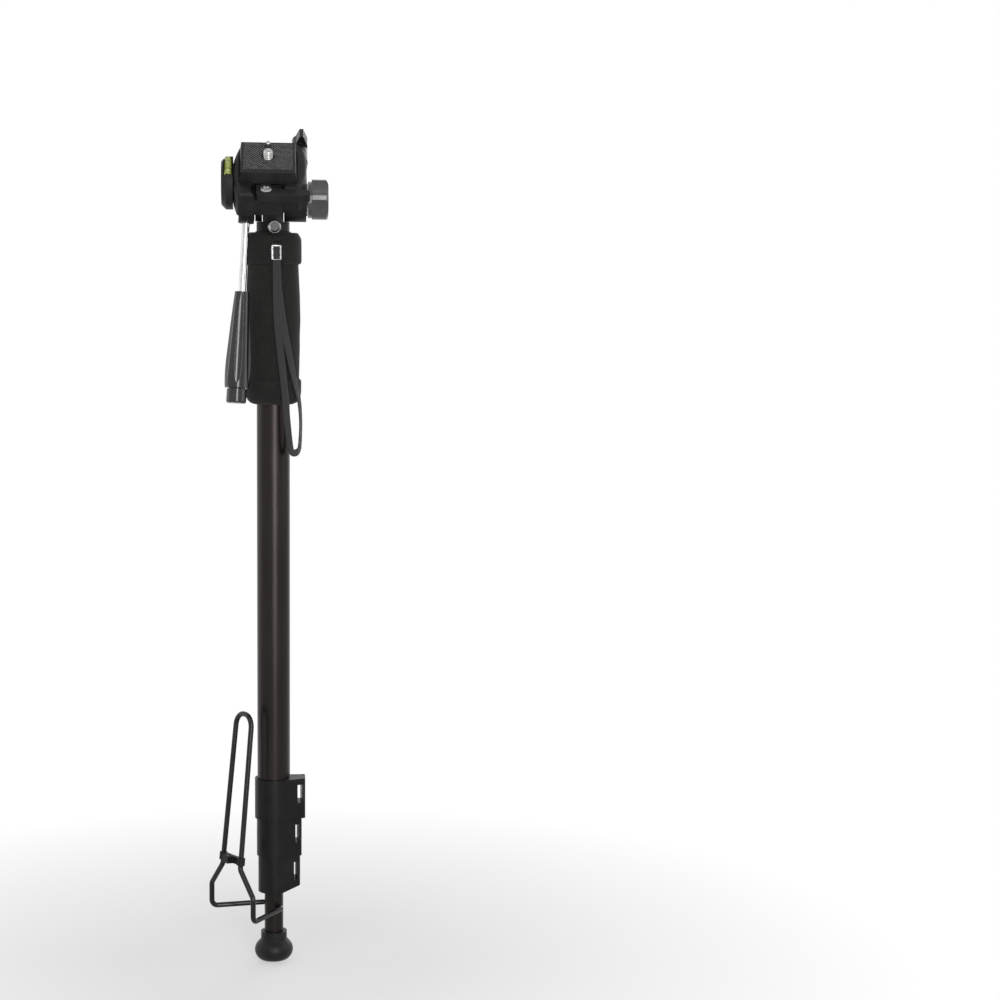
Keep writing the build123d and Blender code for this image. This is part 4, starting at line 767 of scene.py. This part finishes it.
def foam_sleeve():
    """The foam sleeve, a little uneven as moulded foam is, with the strap's slit."""
    rng = np.random.default_rng(FOAM_SEED)
    waves = rng.uniform(0, 2 * pi, (FOAM_WAVES, 2))

    def shape(radius, turn, height):
        if radius < FOAM_BORE + FOAM_INNER_SKIN:
            return radius
        wobble = 0.0
        for k, (a, b) in enumerate(waves):
            wave = FOAM_WAVE_FIRST + FOAM_WAVE_STEP * k
            wobble += sin(turn * (k + 2) + a) * sin(height * wave + b) / (k + 2)
        r = radius + wobble * FOAM_WOBBLE
        x, y = r * cos(turn), r * sin(turn)
        if y < 0 and abs(x - SLIT_X) < SLIT_HALF and abs(height - SLIT_Z) < SLIT_HIGH:
            r -= SLIT_DEPTH
        return r

    rings = turned_rings(dense_profile(FOAM_PROFILE, FOAM_STEP), FOAM_SEGMENTS, shape)
    rings.append(rings[0])
    points, faces = sweep_rings(rings, close_ends=False)
    foam = mesh_object("foam_sleeve", points, faces, "foam")
    finish_piece(foam, "foam_grip", 50)
    return foam


def route_line(route):
    """Points along the NURBS spline that has the route as its control points."""
    curve = bpy.data.curves.new("strap_line", "CURVE")
    curve.dimensions = "3D"
    curve.resolution_u = 12
    spline = curve.splines.new("NURBS")
    spline.points.add(len(route) - 1)
    for point, (x, y, z) in zip(spline.points, route):
        point.co = (x * MM, y * MM, z * MM, 1.0)
    spline.order_u = 3
    spline.use_endpoint_u = True
    holder = bpy.data.objects.new("strap_line", curve)
    bpy.context.scene.collection.objects.link(holder)
    mesh = bpy.data.meshes.new_from_object(holder)
    line = [v.co.copy() for v in mesh.vertices]
    bpy.data.meshes.remove(mesh)
    bpy.data.objects.remove(holder)
    bpy.data.curves.remove(curve)
    return line


def strap_band():
    """The flat webbing that follows the route, with rounded selvedges and a weave map."""
    line = route_line(STRAP_ROUTE)
    edge, half = STRAP_WIDTH / 2, STRAP_THICK / 2
    corner, flat, shoulder = edge - STRAP_CORNER, edge - STRAP_SELVEDGE, half * STRAP_SHOULDER
    outline = [(-edge, 0), (-corner, shoulder), (-flat, half), (0, half), (flat, half), (corner, shoulder),
               (edge, 0), (corner, -shoulder), (flat, -half), (0, -half), (-flat, -half),
               (-corner, -shoulder)]
    rings, run = [], [0.0]
    for k, point in enumerate(line):
        before, after = line[max(0, k - 1)], line[min(len(line) - 1, k + 1)]
        tangent = (after - before).normalized()
        out = Vector((point.x, point.y, 0)).normalized()
        side = tangent.cross(out).normalized()
        out = side.cross(tangent).normalized()
        if k:
            run.append(run[-1] + (point - line[k - 1]).length)
        rings.append([point + side * a + out * b for a, b in outline])
    points, faces = sweep_rings(rings)
    band = mesh_object("strap_webbing", points, faces, "webbing")
    weave = band.data.uv_layers.new(name="weave")
    for loop in band.data.loops:
        row, column = divmod(loop.vertex_index, len(outline))
        weave.data[loop.index].uv = (outline[column][0] * WEAVE_PER_METRE, run[row] * WEAVE_PER_METRE)
    finish_piece(band, "wrist_strap")
    return band


def press_depth(share):
    """How deep the crimping tool pressed at this share of the ferrule's height."""
    depth = 0.0
    for place in PRESS_PLACES:
        if abs(share - place) < PRESS_REACH:
            depth += PRESS_DEPTH * max(0.0, cos((share - place) * PRESS_WAVE)) ** 3
    return depth


def crimped_ferrule():
    """The metal ferrule, folded round the strap and pressed in at two places."""
    rings = []
    for row in range(FERRULE_ROWS + 1):
        share = row / FERRULE_ROWS
        height = FERRULE_LOW + (FERRULE_HIGH - FERRULE_LOW) * share
        lip = LIP_DEPTH * max(0.0, 1 - min(share, 1 - share) / LIP_REACH)
        near = FERRULE_NEAR + FERRULE_INSET + FERRULE_CORNER
        far = FERRULE_FAR - press_depth(share) - FERRULE_INSET + lip * 0.5 - FERRULE_CORNER
        half = FERRULE_HALF - lip - FERRULE_CORNER
        ring = []
        for side, depth, start in ((-1, near, 180), (1, near, 90), (1, far, 0), (-1, far, -90)):
            for k in range(5):
                turn = radians(start - k * 22.5)
                across = (FERRULE_X + side * half + FERRULE_CORNER * cos(turn)) / FERRULE_MIDDLE
                out = depth - FERRULE_CORNER * sin(turn)
                ring.append(Vector((out * sin(across), -out * cos(across), height)))
        rings.append(ring)
    points, faces = sweep_rings(rings)
    ferrule = mesh_object("ferrule_crimped", points, faces, "steel")
    return finish_piece(ferrule, "strap_ferrule", 40)


# Surroundings

def floor_material():
    """A pale floor that takes the shadow near the foot and runs out into plain white."""
    made, tree, shader = new_material("floor_pale")
    set_inputs(shader, Roughness=0.9, Specular_IOR_Level=0.0)
    place = add(tree, "ShaderNodeTexCoord").outputs["Object"]
    cloud = noise(tree, place, size=800 * MM)
    tree.links.new(ramp(tree, cloud, [(0.3, (0.87, 0.87, 0.87)), (0.7, (0.89, 0.89, 0.89))]),
                   shader.inputs["Base Color"])
    reach = add(tree, "ShaderNodeVectorMath", {0: place}, operation="LENGTH").outputs["Value"]
    rays = add(tree, "ShaderNodeLightPath")
    seen = math(tree, "MAXIMUM", rays.outputs["Is Camera Ray"], rays.outputs["Is Glossy Ray"])
    seen = math(tree, "MAXIMUM", seen, rays.outputs["Is Transmission Ray"])
    share = math(tree, "MULTIPLY", seen, remap(tree, reach, FLOOR_PLAIN, 1.0, FLOOR_NEAR, FLOOR_FAR))
    white = add(tree, "ShaderNodeEmission", {"Color": (1, 1, 1, 1), "Strength": 1.0})
    both = add(tree, "ShaderNodeMixShader", {0: share, 1: shader.outputs["BSDF"], 2: white.outputs[0]})
    out = next(n for n in tree.nodes if n.type == "OUTPUT_MATERIAL")
    tree.links.new(both.outputs[0], out.inputs["Surface"])
    return made


def floor():
    """A wide pale floor under the foot."""
    mesh = bpy.data.meshes.new("floor")
    corners = [(-FLOOR_HALF, -FLOOR_HALF, 0), (FLOOR_HALF, -FLOOR_HALF, 0), (FLOOR_HALF, FLOOR_HALF, 0),
               (-FLOOR_HALF, FLOOR_HALF, 0)]
    mesh.from_pydata(corners, [], [(0, 1, 2, 3)])
    mesh.materials.append(floor_material())
    thing = bpy.data.objects.new("floor", mesh)
    thing.location = (0, 0, -FLOOR_DROP)
    bpy.context.scene.collection.objects.link(thing)


def world():
    """A pale world: white where it is seen or mirrored, plain light for everything else."""
    made = bpy.data.worlds.new("studio")
    bpy.context.scene.world = made
    made.use_nodes = True
    tree = made.node_tree
    tree.nodes.clear()
    out = tree.nodes.new("ShaderNodeOutputWorld")
    rays = add(tree, "ShaderNodeLightPath")
    seen = math(tree, "MAXIMUM", rays.outputs["Is Camera Ray"], rays.outputs["Is Glossy Ray"])
    seen = math(tree, "MAXIMUM", seen, rays.outputs["Is Transmission Ray"])
    light = remap(tree, seen, WORLD_LIGHT, 1.0)
    back = add(tree, "ShaderNodeBackground", {"Color": (1, 1, 1, 1), "Strength": light})
    tree.links.new(back.outputs[0], out.inputs["Surface"])


def lamp(name, place, aim, width, height, power):
    """A soft rectangular lamp that points at aim."""
    data = bpy.data.lights.new(name, "AREA")
    data.shape = "RECTANGLE"
    data.size, data.size_y = width, height
    data.energy = power
    thing = bpy.data.objects.new(name, data)
    thing.location = place
    thing.rotation_mode = "QUATERNION"
    thing.rotation_quaternion = (Vector(aim) - Vector(place)).to_track_quat("-Z", "Y")
    bpy.context.scene.collection.objects.link(thing)


def lights():
    """Plain soft studio light: a tall box beside the camera, one above it, two fills and a rim."""
    for name, place, width, height, power in LAMPS:
        lamp(name, place, LAMP_AIM, width, height, power)


def camera():
    """The camera of the photograph's left view."""
    data = bpy.data.cameras.new("camera")
    data.sensor_width = SENSOR_WIDTH
    data.lens = SENSOR_WIDTH * FOCAL_PIXELS / FRAME_PIXELS
    data.clip_start, data.clip_end = CAMERA_NEAR, CAMERA_FAR
    thing = bpy.data.objects.new("camera", data)
    thing.location = (0, -CAMERA_DISTANCE, CAMERA_HEIGHT)
    thing.rotation_mode = "QUATERNION"
    yaw, dip = radians(CAMERA_YAW), radians(CAMERA_DIP)
    ahead = Vector((sin(yaw) * cos(dip), cos(yaw) * cos(dip), -sin(dip)))
    aim = ahead.to_track_quat("-Z", "Y")
    thing.rotation_quaternion = aim @ Quaternion((0, 0, 1), radians(CAMERA_ROLL))
    bpy.context.scene.collection.objects.link(thing)
    bpy.context.scene.camera = thing


camera()
paint_nodes()
strap_band()
foam_sleeve()
crimped_ferrule()
knurled_pad()
threaded_screw()
cross_screw()
vial_tube()
vial_mark("vial_mark_1", -VIAL_MARK)
vial_mark("vial_mark_2", VIAL_MARK)
vial_bubble()
floor()
world()
lights()
bpy.context.scene.view_settings.view_transform = "Standard"
